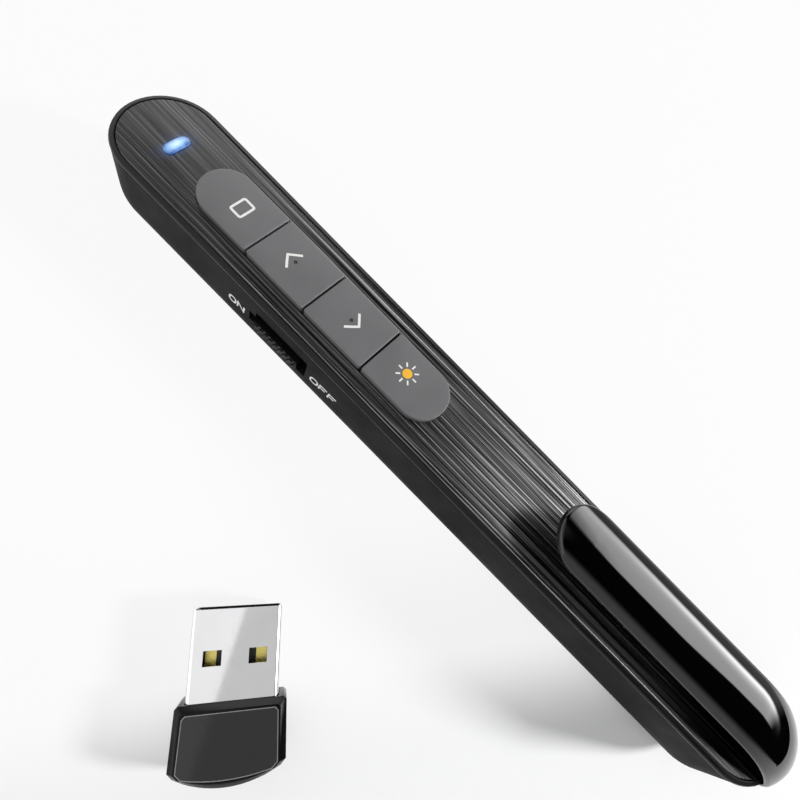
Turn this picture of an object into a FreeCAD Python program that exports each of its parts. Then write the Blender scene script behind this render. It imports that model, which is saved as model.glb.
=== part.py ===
# Wireless presentation clicker: a slim hand-held remote with four keys, a slide switch on its
# left side, a laser in its nose and a pocket clip over its tail, with its USB receiver beside it.
# Lengths are millimetres. The origin is on the flat belly, half way along the handset.
# +Y points to the nose, +X to the right of the keys and +Z up through the keys.

import FreeCAD, Part
import math
import os

Vector = FreeCAD.Vector
os.makedirs("parts", exist_ok=True)

# General values
overrun = 1.0
fit_gap = 0.1
same_point_gap = 0.0001

# Handset: the outline of its rim and the section of its hull
handset_length = 143.8
rim_width = 17.0
hull_swell = 0.8
body_height = 15.0
bilge_radius = 6.0
wall = 1.4

# Rim, deck and brushed plate
plate_thickness = 0.8
deck_thickness = 1.0
rim_depth = 0.9
rim_drop = 0.45
rim_flat = 0.15
rim_ring_width = 0.9
parting_groove = 0.2
groove_depth = 0.3
lip_thickness = 0.7
plate_edge_chamfer = 0.12

# Row of keys: how far it starts from the nose, the lengths of the four keys and how they fit
key_row_setback = 16.9
key_row_half_width = 4.54
key_lengths = {"key_screen": 13.3, "key_page_up": 12.3, "key_page_down": 12.3, "key_laser": 13.5}
key_proud = 1.1
key_seam = 0.25
key_side_gap = 0.12
key_edge_bevel = 0.4
key_flange_reach = 0.55
key_flange_thickness = 0.45
key_flange_gap = 0.05
key_stem_half = 1.2
key_stem_length = 0.3
key_travel = 0.5

# Push switches under the keys
switch_side = 4.5
switch_height = 2.1
switch_floor = 0.2
plunger_half = 1.0
plunger_running_gap = 0.05

# Circuit board and what is soldered to it
board_thickness = 1.0
board_side_gap = 1.9
board_tail_gap = 1.8
board_nose_gap = 9.0
board_clearance = 1.2
board_corner = 2.0
board_rib_reach = 1.2
board_rib_thickness = 1.2
board_rib_shares = [0.0, 0.86]
chip_side = 4.0
chip_height = 0.9
chip_side_step = 3.2
chip_tail_step = 9.0
crystal_length = 3.2
crystal_width = 1.5
crystal_height = 0.8
crystal_side_step = 3.8

# Status light
led_setback = 10.0
led_slot_length = 3.75
led_slot_width = 1.2
led_proud = 0.05
led_side_gap = 0.05
led_flange = 0.3
led_flange_thickness = 0.5
led_chip_length = 1.6
led_chip_width = 0.8
led_chip_height = 0.6

# Laser in the nose
laser_top_gap = 0.8
laser_radius = 3.0
laser_length = 6.5
laser_nose_inset = 2.3
laser_bore_radius = 2.3
laser_bore_depth = 2.4
laser_cradle_setback = 1.0
laser_lens_thickness = 1.1
laser_cradle_width = 7.2
laser_cradle_length = 4.4
laser_cradle_drop = 1.2
nose_hole_radius = 1.3
nose_window_radius = 1.9
nose_window_thickness = 0.8
nose_window_inset = 0.5

# Slide switch on the left side
slot_setback = 31.5
slot_length = 11.3
slot_height = 4.6
slot_top_gap = 1.4
slot_corner = 0.45
slot_notch_length = 1.4
slot_notch_height = 2.3
slot_notch_drop = 1.3
knob_length = 9.4
knob_end_gap = 0.2
knob_side_gap = 0.2
knob_bar_height = 2.7
knob_proud = 0.45
knob_travel = 1.5
knob_flange_thickness = 0.5
knob_flange_overlap = 0.6
knob_flange_gap = 0.12
knob_ridge_count = 7
knob_ridge_pitch = 1.1
knob_ridge_depth = 0.35
knob_ridge_width = 0.5
knob_ridge_slant_deg = 24.0
power_switch_length = 8.4
power_switch_width = 2.5
power_switch_height = 2.3
power_switch_inset = 0.45
lever_length = 1.6
lever_height = 0.9
lever_reach = 1.0
lever_gap = 0.1

# Battery, its contacts, its partition and its door. The cell fills the room that the casing
# leaves it, which at these sizes is that of an AAA cell: 44.5 long and 10.5 across
cell_tail_room = 4.9
cell_top_gap = 0.9
cell_nub_radius = 1.9
cell_nub_height = 1.0
cell_floor_gap = 0.4
tail_block_length = 6.1
contact_thickness = 0.4
contact_side = 8.0
contact_drop = 3.85
partition_thickness = 1.2
partition_top_gap = 0.7
middle_length = 18.4
leaf_thickness = 0.35
leaf_width = 6.0
leaf_low_share = 0.75
leaf_high_share = 0.72
leaf_foot_share = 0.15
leaf_touch_share = 0.2
leaf_tip_share = 0.45
door_side_lap = 0.25
door_tail_lap = 1.4
door_nose_setback = 0.3
door_gap = 0.12
door_thickness = 1.3
door_tab_low = 1.5
door_tab_high = 2.3
door_tab_reach = 1.3
door_tab_inner = 1.8
door_tab_outer = 3.2
door_tongue_half_width = 2.5
door_tongue_reach = 1.5
door_grip_count = 5
door_grip_pitch = 1.2
door_grip_depth = 0.3
door_grip_width = 0.5
door_grip_half_length = 3.0
door_grip_setback = 4.0

# Bay for the receiver in the belly
bay_tail_lap = 1.6
bay_length_gap = 1.0
bay_side_gap = 0.175
bay_roof = 0.9
bay_end_wall = 1.0
bay_side_cut = 2.6
magnet_half = 3.0
magnet_thickness = 0.8
magnet_setback = 7.0

# Screws and bosses
rear_screw_setback = 6.8
screw_head_radius = 1.5
screw_head_height = 1.1
screw_radius = 0.7
screw_head_recess_depth = 2.0
screw_head_recess_radius = 1.7
screw_tip_depth = 0.4
screw_drive_half = 0.9
screw_drive_width = 0.5
screw_drive_depth = 0.6
lower_boss_half = 2.2
upper_boss_half = 1.6
screw_clearance = 0.15

# Clip over the tail
clip_width = 10.4
clip_reach = 53.3
clip_end_length = 6.3
clip_arm_gap = 5.2
clip_edge_height = 0.6
clip_proud = 0.45
clip_bend_setback = 14.4
clip_bend_radius = 20.0
clip_bend_deg = 40.0
clip_recess_gap = 0.45
clip_root_drop = 5.0
clip_root_gap = 0.15
clip_side_gap = 0.15
clip_tongue_half_width = 3.8
clip_tongue_thickness = 1.4
clip_tongue_setback = 5.0
clip_tongue_lift_gap = 0.45
clip_tongue_end_gap = 0.15
clip_tongue_clamp_length = 2.6
clip_peg_radius = 0.9
clip_peg_gap = 0.35
clip_peg_setback = 1.8

# Receiver
receiver_side_step = 47.7
receiver_tail_step = 4.0
receiver_turn_deg = 45.0
plug_width = 12.0
plug_height = 4.5
plug_length = 11.75
plug_wall = 0.3
plug_corner = 0.6
plug_buried = 4.0
plug_window_width = 2.42
plug_window_length = 2.0
plug_window_offset = 3.0
plug_window_setback = 6.3
cap_length = 10.0
cap_mouth_width = 14.3
cap_base_width = 14.7
cap_side_length = 7.6
cap_corner_drop = 0.7
cap_shoulder = 0.4
cap_thickness = 6.4
cap_edge_bevel = 0.7
cap_edge_inset = 0.75
cap_wall = 0.9
front_inset = 0.35
front_depth = 0.35
tongue_thickness = 1.85
tongue_setback = 0.5
tongue_gap = 0.1
contact_places_share = [-0.57, -0.18, 0.18, 0.57]
contact_widths = [1.5, 1.0, 1.0, 1.5]
contact_strip_thickness = 0.15
contact_strip_inset = 1.2
receiver_board_thickness = 1.0
receiver_board_half_width = 5.2
receiver_chip_side = 3.6
receiver_chip_height = 0.9

# An edge counts as straight along a direction when its run lies this closely on it
straight_share = 0.9999

# Values worked out from those above
rim_half = rim_width / 2
hull_half = rim_half + hull_swell
half_length = handset_length / 2
end_centre = half_length - rim_half
deck_top = body_height - plate_thickness
deck_bottom = deck_top - deck_thickness
hull_top = body_height - rim_depth
groove_top = hull_top + parting_groove
rim_shoulder = body_height - rim_drop
plate_half = rim_half - rim_ring_width - fit_gap
lap_half = rim_half - lip_thickness
bilge_centre_x = hull_half - bilge_radius
side_run = math.hypot(rim_half - bilge_centre_x, hull_top - bilge_radius)
side_lean = (math.atan2(hull_top - bilge_radius, rim_half - bilge_centre_x)
             - math.acos(bilge_radius / side_run))

key_top = body_height + key_proud
key_flange_top = deck_bottom - key_flange_gap
key_flange_bottom = key_flange_top - key_flange_thickness
plunger_top = key_flange_bottom - key_stem_length
switch_top = plunger_top - key_travel
board_top = switch_top - switch_height
board_bottom = board_top - board_thickness
plunger_bottom = board_top + switch_floor + key_travel + fit_gap
opening_half = key_row_half_width + key_side_gap
key_row_nose = half_length - key_row_setback
key_row_tail = key_row_nose - sum(key_lengths.values())
led_centre_y = half_length - led_setback
laser_height = deck_bottom - laser_top_gap - laser_radius

slot_tail_y = key_row_nose - slot_setback
slot_high = deck_bottom - slot_top_gap
slot_low = slot_high - slot_height
slot_notch_high = slot_high - slot_notch_drop
slot_notch_low = slot_notch_high - slot_notch_height

partition_nose = key_row_tail - middle_length
partition_tail = partition_nose - partition_thickness
tail_block_y = tail_block_length - half_length
cell_tail_y = tail_block_y + cell_tail_room
cell_nose_y = partition_tail - contact_thickness
cell_radius = (deck_bottom - cell_top_gap - cell_floor_gap - wall) / 2
cell_centre_z = wall + cell_floor_gap + cell_radius
door_half_width = cell_radius + door_side_lap
door_tail_y = cell_tail_y - door_tail_lap
door_nose_y = cell_nose_y - door_nose_setback

board_half_width = rim_half - board_side_gap
board_tail = partition_nose + board_tail_gap
board_nose = half_length - board_nose_gap
screw_places_y = [(key_row_nose + led_centre_y) / 2, partition_nose + rear_screw_setback]

bay_tail_y = key_row_tail - bay_tail_lap
bay_length = plug_length + cap_length + bay_length_gap
bay_nose_y = bay_tail_y + bay_length
bay_half_width = cap_base_width / 2 + bay_side_gap
bay_top = board_bottom - board_clearance
bay_depth = bay_top - bay_roof
magnet_y = bay_tail_y + magnet_setback

clip_half = clip_width / 2
clip_outer_radius = rim_half + clip_proud
clip_rise = clip_outer_radius - math.sqrt(clip_outer_radius ** 2 - clip_half ** 2)
clip_depth = clip_rise + clip_edge_height
clip_top_z = body_height + clip_arm_gap + clip_depth
clip_tail_y = -(end_centre + clip_outer_radius)
clip_free_end_y = clip_reach - half_length
clip_bend_start_y = clip_bend_setback - half_length
clip_tongue_end_y = clip_tongue_setback - half_length
clip_peg_y = clip_tongue_end_y - clip_peg_setback
clip_root_z = body_height - clip_root_drop

def flat_point(x, y):
    return Vector(x, y, 0)


def section_point(x, z):
    return Vector(x, 0, z)


def outline(place, start, steps):
    """Closed face: each step is (end,) for a line or (middle, end) for an arc."""
    edges = []
    here = place(*start)
    for step in steps:
        end = place(*step[-1])
        if len(step) == 1:
            edges.append(Part.LineSegment(here, end).toShape())
        else:
            edges.append(Part.Arc(here, place(*step[0]), end).toShape())
        here = end
    first = place(*start)
    if not here.isEqual(first, same_point_gap):
        edges.append(Part.LineSegment(here, first).toShape())
    return Part.Face(Part.Wire(edges))


def on_circle(centre, radius, degrees):
    turn = math.radians(degrees)
    return (centre[0] + radius * math.cos(turn), centre[1] + radius * math.sin(turn))


def box(low_x, high_x, low_y, high_y, low_z, high_z):
    corner = Vector(low_x, low_y, low_z)
    return Part.makeBox(high_x - low_x, high_y - low_y, high_z - low_z, corner)


def upright(radius, x, y, low_z, high_z):
    return Part.makeCylinder(radius, high_z - low_z, Vector(x, y, low_z), Vector(0, 0, 1))


def post(half, y, low_z, high_z):
    """Square upright post on the middle line."""
    return box(-half, half, y - half, y + half, low_z, high_z)


def along_y(radius, x, z, low_y, high_y):
    return Part.makeCylinder(radius, high_y - low_y, Vector(x, low_y, z), Vector(0, 1, 0))


def joined(shapes):
    return shapes[0].fuse(shapes[1:]).removeSplitter()


def mirrored(shape):
    return shape.mirror(Vector(0, 0, 0), Vector(1, 0, 0))


def rounded_bar(half_width, low_y, high_y, low_z, high_z):
    """Upright solid on a stadium outline whose round ends lie along Y."""
    low_c = low_y + half_width
    high_c = high_y - half_width
    face = outline(flat_point, (half_width, low_c), [
        ((half_width, high_c),),
        ((0, high_y), (-half_width, high_c)),
        ((-half_width, low_c),),
        ((0, low_y), (half_width, low_c)),
    ])
    face.translate(Vector(0, 0, low_z))
    return face.extrude(Vector(0, 0, high_z - low_z))


def edges_along(solid, direction):
    """Straight edges of a solid that run along one direction."""
    found = []
    for edge in solid.Edges:
        if len(edge.Vertexes) == 2:
            run = edge.Vertexes[1].Point - edge.Vertexes[0].Point
            if run.Length > 0 and abs(run.dot(direction)) >= run.Length * straight_share:
                found.append(edge)
    return found


def round_the_handset(half_face, end_y):
    """Sweep a half section along the straight sides and round both ends."""
    right = half_face.copy()
    right.translate(Vector(0, -end_y, 0))
    right = right.extrude(Vector(0, 2 * end_y, 0))
    nose = half_face.copy()
    nose.translate(Vector(0, end_y, 0))
    nose = nose.revolve(Vector(0, end_y, 0), Vector(0, 0, 1), 180)
    tail = half_face.copy()
    tail.translate(Vector(0, -end_y, 0))
    tail = tail.revolve(Vector(0, -end_y, 0), Vector(0, 0, 1), -180)
    return joined([right, mirrored(right), nose, tail])


def hull_side_x(z, inset):
    """Half width of the hull at a height, measured to a skin that lies inset inside."""
    radius = bilge_radius - inset
    rise = z - bilge_radius
    if rise >= radius * math.sin(side_lean):
        return bilge_centre_x + (radius - rise * math.sin(side_lean)) / math.cos(side_lean)
    return bilge_centre_x + math.sqrt(radius ** 2 - rise ** 2)


def inner_skin_x(z):
    """Half width of the casing's hollow above the bilge, where its wall is straight."""
    foot = hull_half - wall
    head = hull_side_x(deck_bottom, wall)
    return foot + (head - foot) * (z - bilge_radius) / (deck_bottom - bilge_radius)


def hollow_half_section():
    """Half section of the casing's hollow, with a straight side and a straight slope over the bilge."""
    return outline(section_point, (0, wall), [
        ((bilge_centre_x, wall),),
        ((hull_half - wall, bilge_radius),),
        ((inner_skin_x(deck_bottom), deck_bottom),),
        ((0, deck_bottom),),
    ])


def hull_half_section(inset, top):
    """Half section of the hull's skin, moved in by inset: a round bilge that runs into a straight side."""
    bilge = (bilge_centre_x, bilge_radius)
    radius = bilge_radius - inset
    return outline(section_point, (0, inset), [
        ((bilge_centre_x, inset),),
        (on_circle(bilge, radius, -45), on_circle(bilge, radius, math.degrees(side_lean))),
        ((hull_side_x(top, inset), top),),
        ((0, top),),
    ])


def clip_recess():
    """What the casing gives way to where the clip comes down over the tail."""
    half = clip_half + clip_side_gap
    return box(-half, half, clip_tail_y - overrun, clip_tail_y + clip_depth + clip_recess_gap,
               clip_root_z - clip_root_gap, body_height + overrun)


def key_pocket():
    """Opening for the row of keys in the deck and the plate."""
    return rounded_bar(opening_half, key_row_tail - key_side_gap, key_row_nose + key_side_gap,
                       deck_bottom - overrun, body_height + overrun)


def led_bar(grow, low_z, high_z):
    """Upright bar on the outline of the status light, which lies across the handset."""
    bar = rounded_bar(led_slot_width / 2 + grow, -led_slot_length / 2 - grow,
                      led_slot_length / 2 + grow, low_z, high_z)
    bar.rotate(Vector(0, 0, 0), Vector(0, 0, 1), 90)
    bar.translate(Vector(0, led_centre_y, 0))
    return bar


def side_slot():
    """Opening in the left wall for the ridged knob, with a narrow notch at its nose end."""
    inner = knob_flange_face_x() + knob_flange_gap
    outer = -(hull_half + overrun)
    main = box(outer, inner, slot_tail_y, slot_tail_y + slot_length, slot_low, slot_high)
    main = main.makeFillet(slot_corner, edges_along(main, Vector(1, 0, 0)))
    notch_y = slot_tail_y + slot_length - slot_corner
    notch = box(outer, inner, notch_y, notch_y + slot_corner + slot_notch_length,
                slot_notch_low, slot_notch_high)
    return joined([main, notch])


def screw_recesses():
    cuts = []
    for y in screw_places_y:
        cuts.append(upright(screw_head_recess_radius, 0, y, -overrun, screw_head_recess_depth))
        cuts.append(upright(screw_radius + screw_clearance, 0, y, 0, board_bottom + overrun))
    return cuts


def door_opening():
    """Hole in the belly for the battery door, with the notch for its thumb tongue."""
    top = hull_half - door_half_width
    tail = door_tail_y - door_gap
    nose = door_nose_y + door_gap
    hole = box(-door_half_width - door_gap, door_half_width + door_gap, tail, nose, -overrun, top)
    notch = box(-door_tongue_half_width - door_gap, door_tongue_half_width + door_gap,
                nose, nose + door_tongue_reach, -overrun, wall)
    return joined([hole, notch])


def make_lower_hull():
    body = round_the_handset(hull_half_section(0, hull_top), end_centre)
    hollow = round_the_handset(hollow_half_section(), end_centre)
    far = handset_length
    hollow = hollow.cut(box(-far, far, -far, tail_block_y, -overrun, body_height))
    hollow = hollow.cut(box(-far, far, bay_tail_y - bay_end_wall, bay_nose_y + bay_end_wall,
                            -overrun, bay_top))
    hollow = hollow.cut(box(-far, far, partition_tail, partition_nose,
                            -overrun, deck_bottom - partition_top_gap))
    cradle_nose = laser_front_y() - laser_cradle_setback
    hollow = hollow.cut(box(-laser_cradle_width / 2, laser_cradle_width / 2,
                            cradle_nose - laser_cradle_length, cradle_nose,
                            -overrun, laser_height - laser_cradle_drop))
    for y in screw_places_y:
        hollow = hollow.cut(post(lower_boss_half, y, 0, board_bottom))
    rib_inner = board_half_width - board_rib_reach
    for y in board_rib_places():
        for side in (-1, 1):
            low_x = min(side * rib_inner, side * far)
            high_x = max(side * rib_inner, side * far)
            hollow = hollow.cut(box(low_x, high_x, y - board_rib_thickness / 2,
                                    y + board_rib_thickness / 2, -overrun, board_bottom))
    lap = rounded_bar(lap_half + fit_gap, -end_centre - lap_half - fit_gap,
                      end_centre + lap_half + fit_gap, deck_bottom, body_height)
    body = body.cut([hollow, lap])
    bay = box(-bay_half_width, bay_half_width, bay_tail_y, bay_nose_y, -overrun, bay_depth)
    bay_mouth = box(-far, far, bay_tail_y, bay_nose_y, -overrun, bay_side_cut)
    laser = along_y(laser_radius, 0, laser_height, laser_rear_y(), laser_front_y())
    body = body.cut([bay, bay_mouth, laser, side_slot(), door_opening(), clip_recess()])
    body = body.cut(screw_recesses())
    body = body.cut(nose_holes())
    pocket = clip_tongue_pocket()
    body = body.cut(pocket)
    peg = upright(clip_peg_radius, 0, clip_peg_y, clip_root_z - overrun, clip_peg_top())
    return joined([body, peg])


def board_rib_places():
    """Ribs under the board between the bay and the nose, clear of the side switch."""
    first = slot_tail_y + slot_length + slot_notch_length + key_lengths["key_screen"] / 4
    last = board_nose - board_corner
    return [first + share * (last - first) for share in board_rib_shares]


def laser_front_y():
    return half_length - laser_nose_inset


def laser_rear_y():
    return laser_front_y() - laser_length


def nose_holes():
    outer = end_centre + hull_side_x(laser_height, 0)
    window_face = outer - nose_window_inset
    window_back = window_face - nose_window_thickness
    through = along_y(nose_hole_radius, 0, laser_height, laser_front_y(), outer + overrun)
    seat = along_y(nose_window_radius, 0, laser_height, window_back, outer + overrun)
    return [through, seat]


def clip_peg_top():
    return clip_root_z + clip_tongue_thickness + clip_root_gap


def clip_tongue_pocket():
    """Open-topped pocket in the tail block, where the clip's tongue is held down."""
    half = clip_tongue_half_width + clip_side_gap
    return box(-half, half, clip_tail_y, clip_tongue_end_y + clip_tongue_end_gap,
               clip_root_z - clip_root_gap, body_height)


def make_upper_shell():
    inner = rim_half - rim_ring_width
    drop = body_height - rim_shoulder
    half_face = outline(section_point, (0, deck_bottom), [
        ((lap_half, deck_bottom),),
        ((lap_half, hull_top),),
        ((rim_half - groove_depth, hull_top),),
        ((rim_half - groove_depth, groove_top),),
        ((rim_half, groove_top),),
        ((rim_half, rim_shoulder),),
        ((inner + (rim_ring_width + rim_flat) * 2 / 3, body_height - drop / 3),),
        ((inner + rim_flat, body_height),),
        ((inner, body_height),),
        ((inner, deck_top),),
        ((0, deck_top),),
    ])
    body = round_the_handset(half_face, end_centre)
    body = body.cut([key_pocket(), led_bar(led_side_gap, deck_bottom - overrun, body_height), clip_recess()])
    half = clip_tongue_half_width
    tongue_top = clip_root_z + clip_tongue_thickness
    clamp = box(-half, half, clip_tongue_end_y - clip_tongue_clamp_length, clip_tongue_end_y,
                tongue_top + clip_tongue_lift_gap, deck_bottom)
    peg_room = upright(clip_peg_radius + fit_gap, 0, clip_peg_y, clip_root_z, clip_peg_top() + fit_gap)
    bosses = []
    holes = []
    for y in screw_places_y:
        bosses.append(post(upper_boss_half, y, board_top, deck_bottom))
        holes.append(upright(screw_radius, 0, y, board_top - overrun, deck_top - screw_tip_depth))
    body = joined([body, clamp.cut(peg_room)] + bosses)
    return body.cut(holes)


def make_brushed_plate():
    end = end_centre + plate_half
    plate = rounded_bar(plate_half, -end, end, deck_top, body_height)
    rim_edges = []
    for edge in plate.Edges:
        if all(abs(vertex.Point.z - body_height) < plate_edge_chamfer for vertex in edge.Vertexes):
            rim_edges.append(edge)
    plate = plate.makeChamfer(plate_edge_chamfer, rim_edges)
    light = led_bar(led_side_gap, deck_bottom, body_height + overrun)
    return plate.cut([key_pocket(), light, clip_recess()])


def make_led_lens():
    bottom = board_top + led_chip_height + led_side_gap
    stem = led_bar(0, bottom, body_height + led_proud)
    half_x = led_slot_length / 2 + led_flange
    half_y = led_slot_width / 2 + led_flange
    flange = box(-half_x, half_x, led_centre_y - half_y, led_centre_y + half_y,
                 deck_bottom - led_flange_thickness, deck_bottom)
    return joined([stem, flange])


def make_led_chip():
    return box(-led_chip_length / 2, led_chip_length / 2, led_centre_y - led_chip_width / 2,
               led_centre_y + led_chip_width / 2, board_top, board_top + led_chip_height)


def key_spans():
    """Tail end and nose end of each key, with half a seam taken off where two keys meet."""
    spans = {}
    high = key_row_nose
    names = list(key_lengths)
    for name in names:
        low = high - key_lengths[name]
        low_seam = key_seam / 2 if name != names[-1] else -overrun
        high_seam = key_seam / 2 if name != names[0] else -overrun
        spans[name] = (low + low_seam, high - high_seam)
        high = low
    return spans


def key_centre(name):
    low, high = key_spans()[name]
    low = max(low, key_row_tail)
    high = min(high, key_row_nose)
    return (low + high) / 2


def make_key(name):
    cap = rounded_bar(key_row_half_width, key_row_tail, key_row_nose, key_flange_top, key_top)
    top_edges = []
    for edge in cap.Edges:
        if all(abs(vertex.Point.z - key_top) < key_edge_bevel for vertex in edge.Vertexes):
            top_edges.append(edge)
    cap = cap.makeChamfer(key_edge_bevel, top_edges)
    reach = key_flange_reach
    half = key_row_half_width + reach
    flange = box(-half, half, key_row_tail - reach, key_row_nose + reach, key_flange_bottom, key_flange_top)
    whole = joined([cap, flange])
    low, high = key_spans()[name]
    far = rim_width
    piece = whole.common(box(-far, far, low, high, 0, far + key_top))
    stem = post(key_stem_half, key_centre(name), plunger_top, key_flange_bottom)
    return joined([piece, stem])


def make_switch(name):
    y = key_centre(name)
    body = post(switch_side / 2, y, board_top, switch_top)
    bore = post(plunger_half + plunger_running_gap, y, board_top + switch_floor, switch_top + overrun)
    return body.cut(bore)


def make_plunger(name):
    return post(plunger_half, key_centre(name), plunger_bottom, plunger_top)


def make_circuit_board():
    board = box(-board_half_width, board_half_width, board_tail, board_nose, board_bottom, board_top)
    board = board.makeChamfer(board_corner, edges_along(board, Vector(0, 0, 1)))
    holes = []
    for y in screw_places_y:
        holes.append(upright(screw_radius + screw_clearance, 0, y, 0, body_height))
    return board.cut(holes)


def make_radio_chip():
    half = chip_side / 2
    y = board_tail + chip_tail_step
    return box(chip_side_step - half, chip_side_step + half, y - half, y + half,
               board_top, board_top + chip_height)


def make_crystal():
    x = -crystal_side_step
    y = board_tail + chip_tail_step
    can = box(x - crystal_width / 2, x + crystal_width / 2, y - crystal_length / 2,
              y + crystal_length / 2, board_top, board_top + crystal_height)
    return can.makeChamfer(crystal_width / 4, edges_along(can, Vector(0, 0, 1)))


def knob_tail_y():
    """Tail end of the knob's ridged bar at rest, when the remote is switched on."""
    return slot_tail_y + slot_length - knob_end_gap - knob_length


def knob_low_z():
    return slot_low + knob_side_gap


def knob_flange_face_x():
    return -(inner_skin_x(slot_high + knob_flange_overlap) - knob_flange_gap)


def make_power_knob():
    outer = -(hull_half + knob_proud)
    face_x = knob_flange_face_x()
    low_y = knob_tail_y()
    high_y = low_y + knob_length
    low_z = knob_low_z()
    bar = box(outer, face_x, low_y, high_y, low_z, low_z + knob_bar_height)
    bar = bar.makeChamfer(knob_ridge_depth, outer_edges(bar, outer))
    grooves = []
    first = (low_y + high_y) / 2 - knob_ridge_pitch * knob_ridge_count / 2
    for index in range(knob_ridge_count + 1):
        y = first + index * knob_ridge_pitch
        tall = 2 * knob_bar_height
        groove = box(outer - overrun, outer + knob_ridge_depth, y - knob_ridge_width / 2,
                     y + knob_ridge_width / 2, low_z - tall / 2, low_z + tall)
        middle = Vector(outer, y, low_z + knob_bar_height / 2)
        groove.rotate(middle, Vector(1, 0, 0), knob_ridge_slant_deg)
        grooves.append(groove)
    bar = bar.cut(grooves)
    flange = box(face_x, face_x + knob_flange_thickness, low_y - knob_flange_overlap,
                 high_y + knob_flange_overlap, bay_top + fit_gap, slot_high + knob_flange_overlap)
    flange = flange.cut(lever_solid(lever_gap / 2))
    return joined([bar, flange])


def outer_edges(solid, x):
    found = []
    for edge in solid.Edges:
        if all(abs(vertex.Point.x - x) < knob_ridge_depth / 4 for vertex in edge.Vertexes):
            found.append(edge)
    return found


def power_switch_outer_x():
    return knob_flange_face_x() + knob_flange_thickness + power_switch_inset


def lever_centre_y():
    return knob_tail_y() + knob_length / 2


def lever_solid(grow):
    y = lever_centre_y()
    z = board_top + power_switch_height / 2
    outer = knob_flange_face_x() + knob_flange_thickness / 2 - grow
    inner = power_switch_outer_x() + lever_reach
    return box(outer, inner, y - lever_length / 2 - grow, y + lever_length / 2 + grow,
               z - lever_height / 2 - grow, z + lever_height / 2 + grow)


def make_power_switch_lever():
    return lever_solid(0)


def make_power_switch_body():
    outer = power_switch_outer_x()
    y = lever_centre_y() - knob_travel / 2
    z = board_top + power_switch_height / 2
    body = box(outer, outer + power_switch_width, y - power_switch_length / 2,
               y + power_switch_length / 2, board_top, board_top + power_switch_height)
    window = box(outer - overrun, outer + lever_reach + lever_gap,
                 lever_centre_y() - knob_travel - lever_length / 2 - lever_gap,
                 lever_centre_y() + lever_length / 2 + lever_gap,
                 z - lever_height / 2 - lever_gap, z + lever_height / 2 + lever_gap)
    return body.cut(window)


def make_laser_barrel():
    front = laser_front_y()
    barrel = along_y(laser_radius, 0, laser_height, laser_rear_y(), front)
    return barrel.cut(along_y(laser_bore_radius, 0, laser_height, front - laser_bore_depth, front + overrun))


def make_laser_lens():
    """Disc seated on the floor of the barrel's bore."""
    back = laser_front_y() - laser_bore_depth
    return along_y(laser_bore_radius, 0, laser_height, back, back + laser_lens_thickness)


def make_nose_window():
    face = end_centre + hull_side_x(laser_height, 0) - nose_window_inset
    return along_y(nose_window_radius, 0, laser_height, face - nose_window_thickness, face)


def make_battery_cell():
    body_end = cell_nose_y - cell_nub_height
    profile = outline(flat_point, (0, cell_tail_y), [
        ((cell_radius, cell_tail_y),),
        ((cell_radius, body_end),),
        ((cell_nub_radius, body_end),),
        ((cell_nub_radius, cell_nose_y),),
        ((0, cell_nose_y),),
    ])
    cell = profile.revolve(Vector(0, 0, 0), Vector(0, 1, 0), 360)
    cell.translate(Vector(0, 0, cell_centre_z))
    return cell


def make_battery_leaf():
    """Stamped sprung contact: a flat back, a slope up to the cell and a free end turned back."""
    back = tail_block_y + leaf_thickness / 2
    touch = cell_tail_y - leaf_thickness / 2
    low = cell_centre_z - cell_radius * leaf_low_share
    high = cell_centre_z + cell_radius * leaf_high_share
    span = touch - back
    rows = [
        (back, high),
        (back, low),
        (back + span * leaf_foot_share, low),
        (touch, cell_centre_z - cell_radius * leaf_touch_share),
        (touch, cell_centre_z + cell_radius * leaf_touch_share),
        (back + span * leaf_tip_share, high),
    ]
    half = leaf_thickness / 2
    solids = []
    for start, end in zip(rows[:-1], rows[1:]):
        solids.append(strip_bar(start, end, half))
    for row in rows[1:-1]:
        bend = Part.makeCylinder(half, leaf_width, Vector(-leaf_width / 2, row[0], row[1]), Vector(1, 0, 0))
        solids.append(bend)
    return joined(solids)


def strip_bar(start, end, half):
    """One flat run of a bent strip, from one row to the next."""
    run_y = end[0] - start[0]
    run_z = end[1] - start[1]
    length = math.hypot(run_y, run_z)
    off = (-run_z / length * half, run_y / length * half)
    corners = [
        Vector(-leaf_width / 2, start[0] + off[0], start[1] + off[1]),
        Vector(-leaf_width / 2, end[0] + off[0], end[1] + off[1]),
        Vector(-leaf_width / 2, end[0] - off[0], end[1] - off[1]),
        Vector(-leaf_width / 2, start[0] - off[0], start[1] - off[1]),
    ]
    face = Part.Face(Part.makePolygon(corners + corners[:1]))
    return face.extrude(Vector(leaf_width, 0, 0))


def make_battery_contact():
    half = contact_side / 2
    low = cell_centre_z - contact_drop
    return box(-half, half, cell_nose_y, partition_tail, low, low + contact_side)


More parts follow.
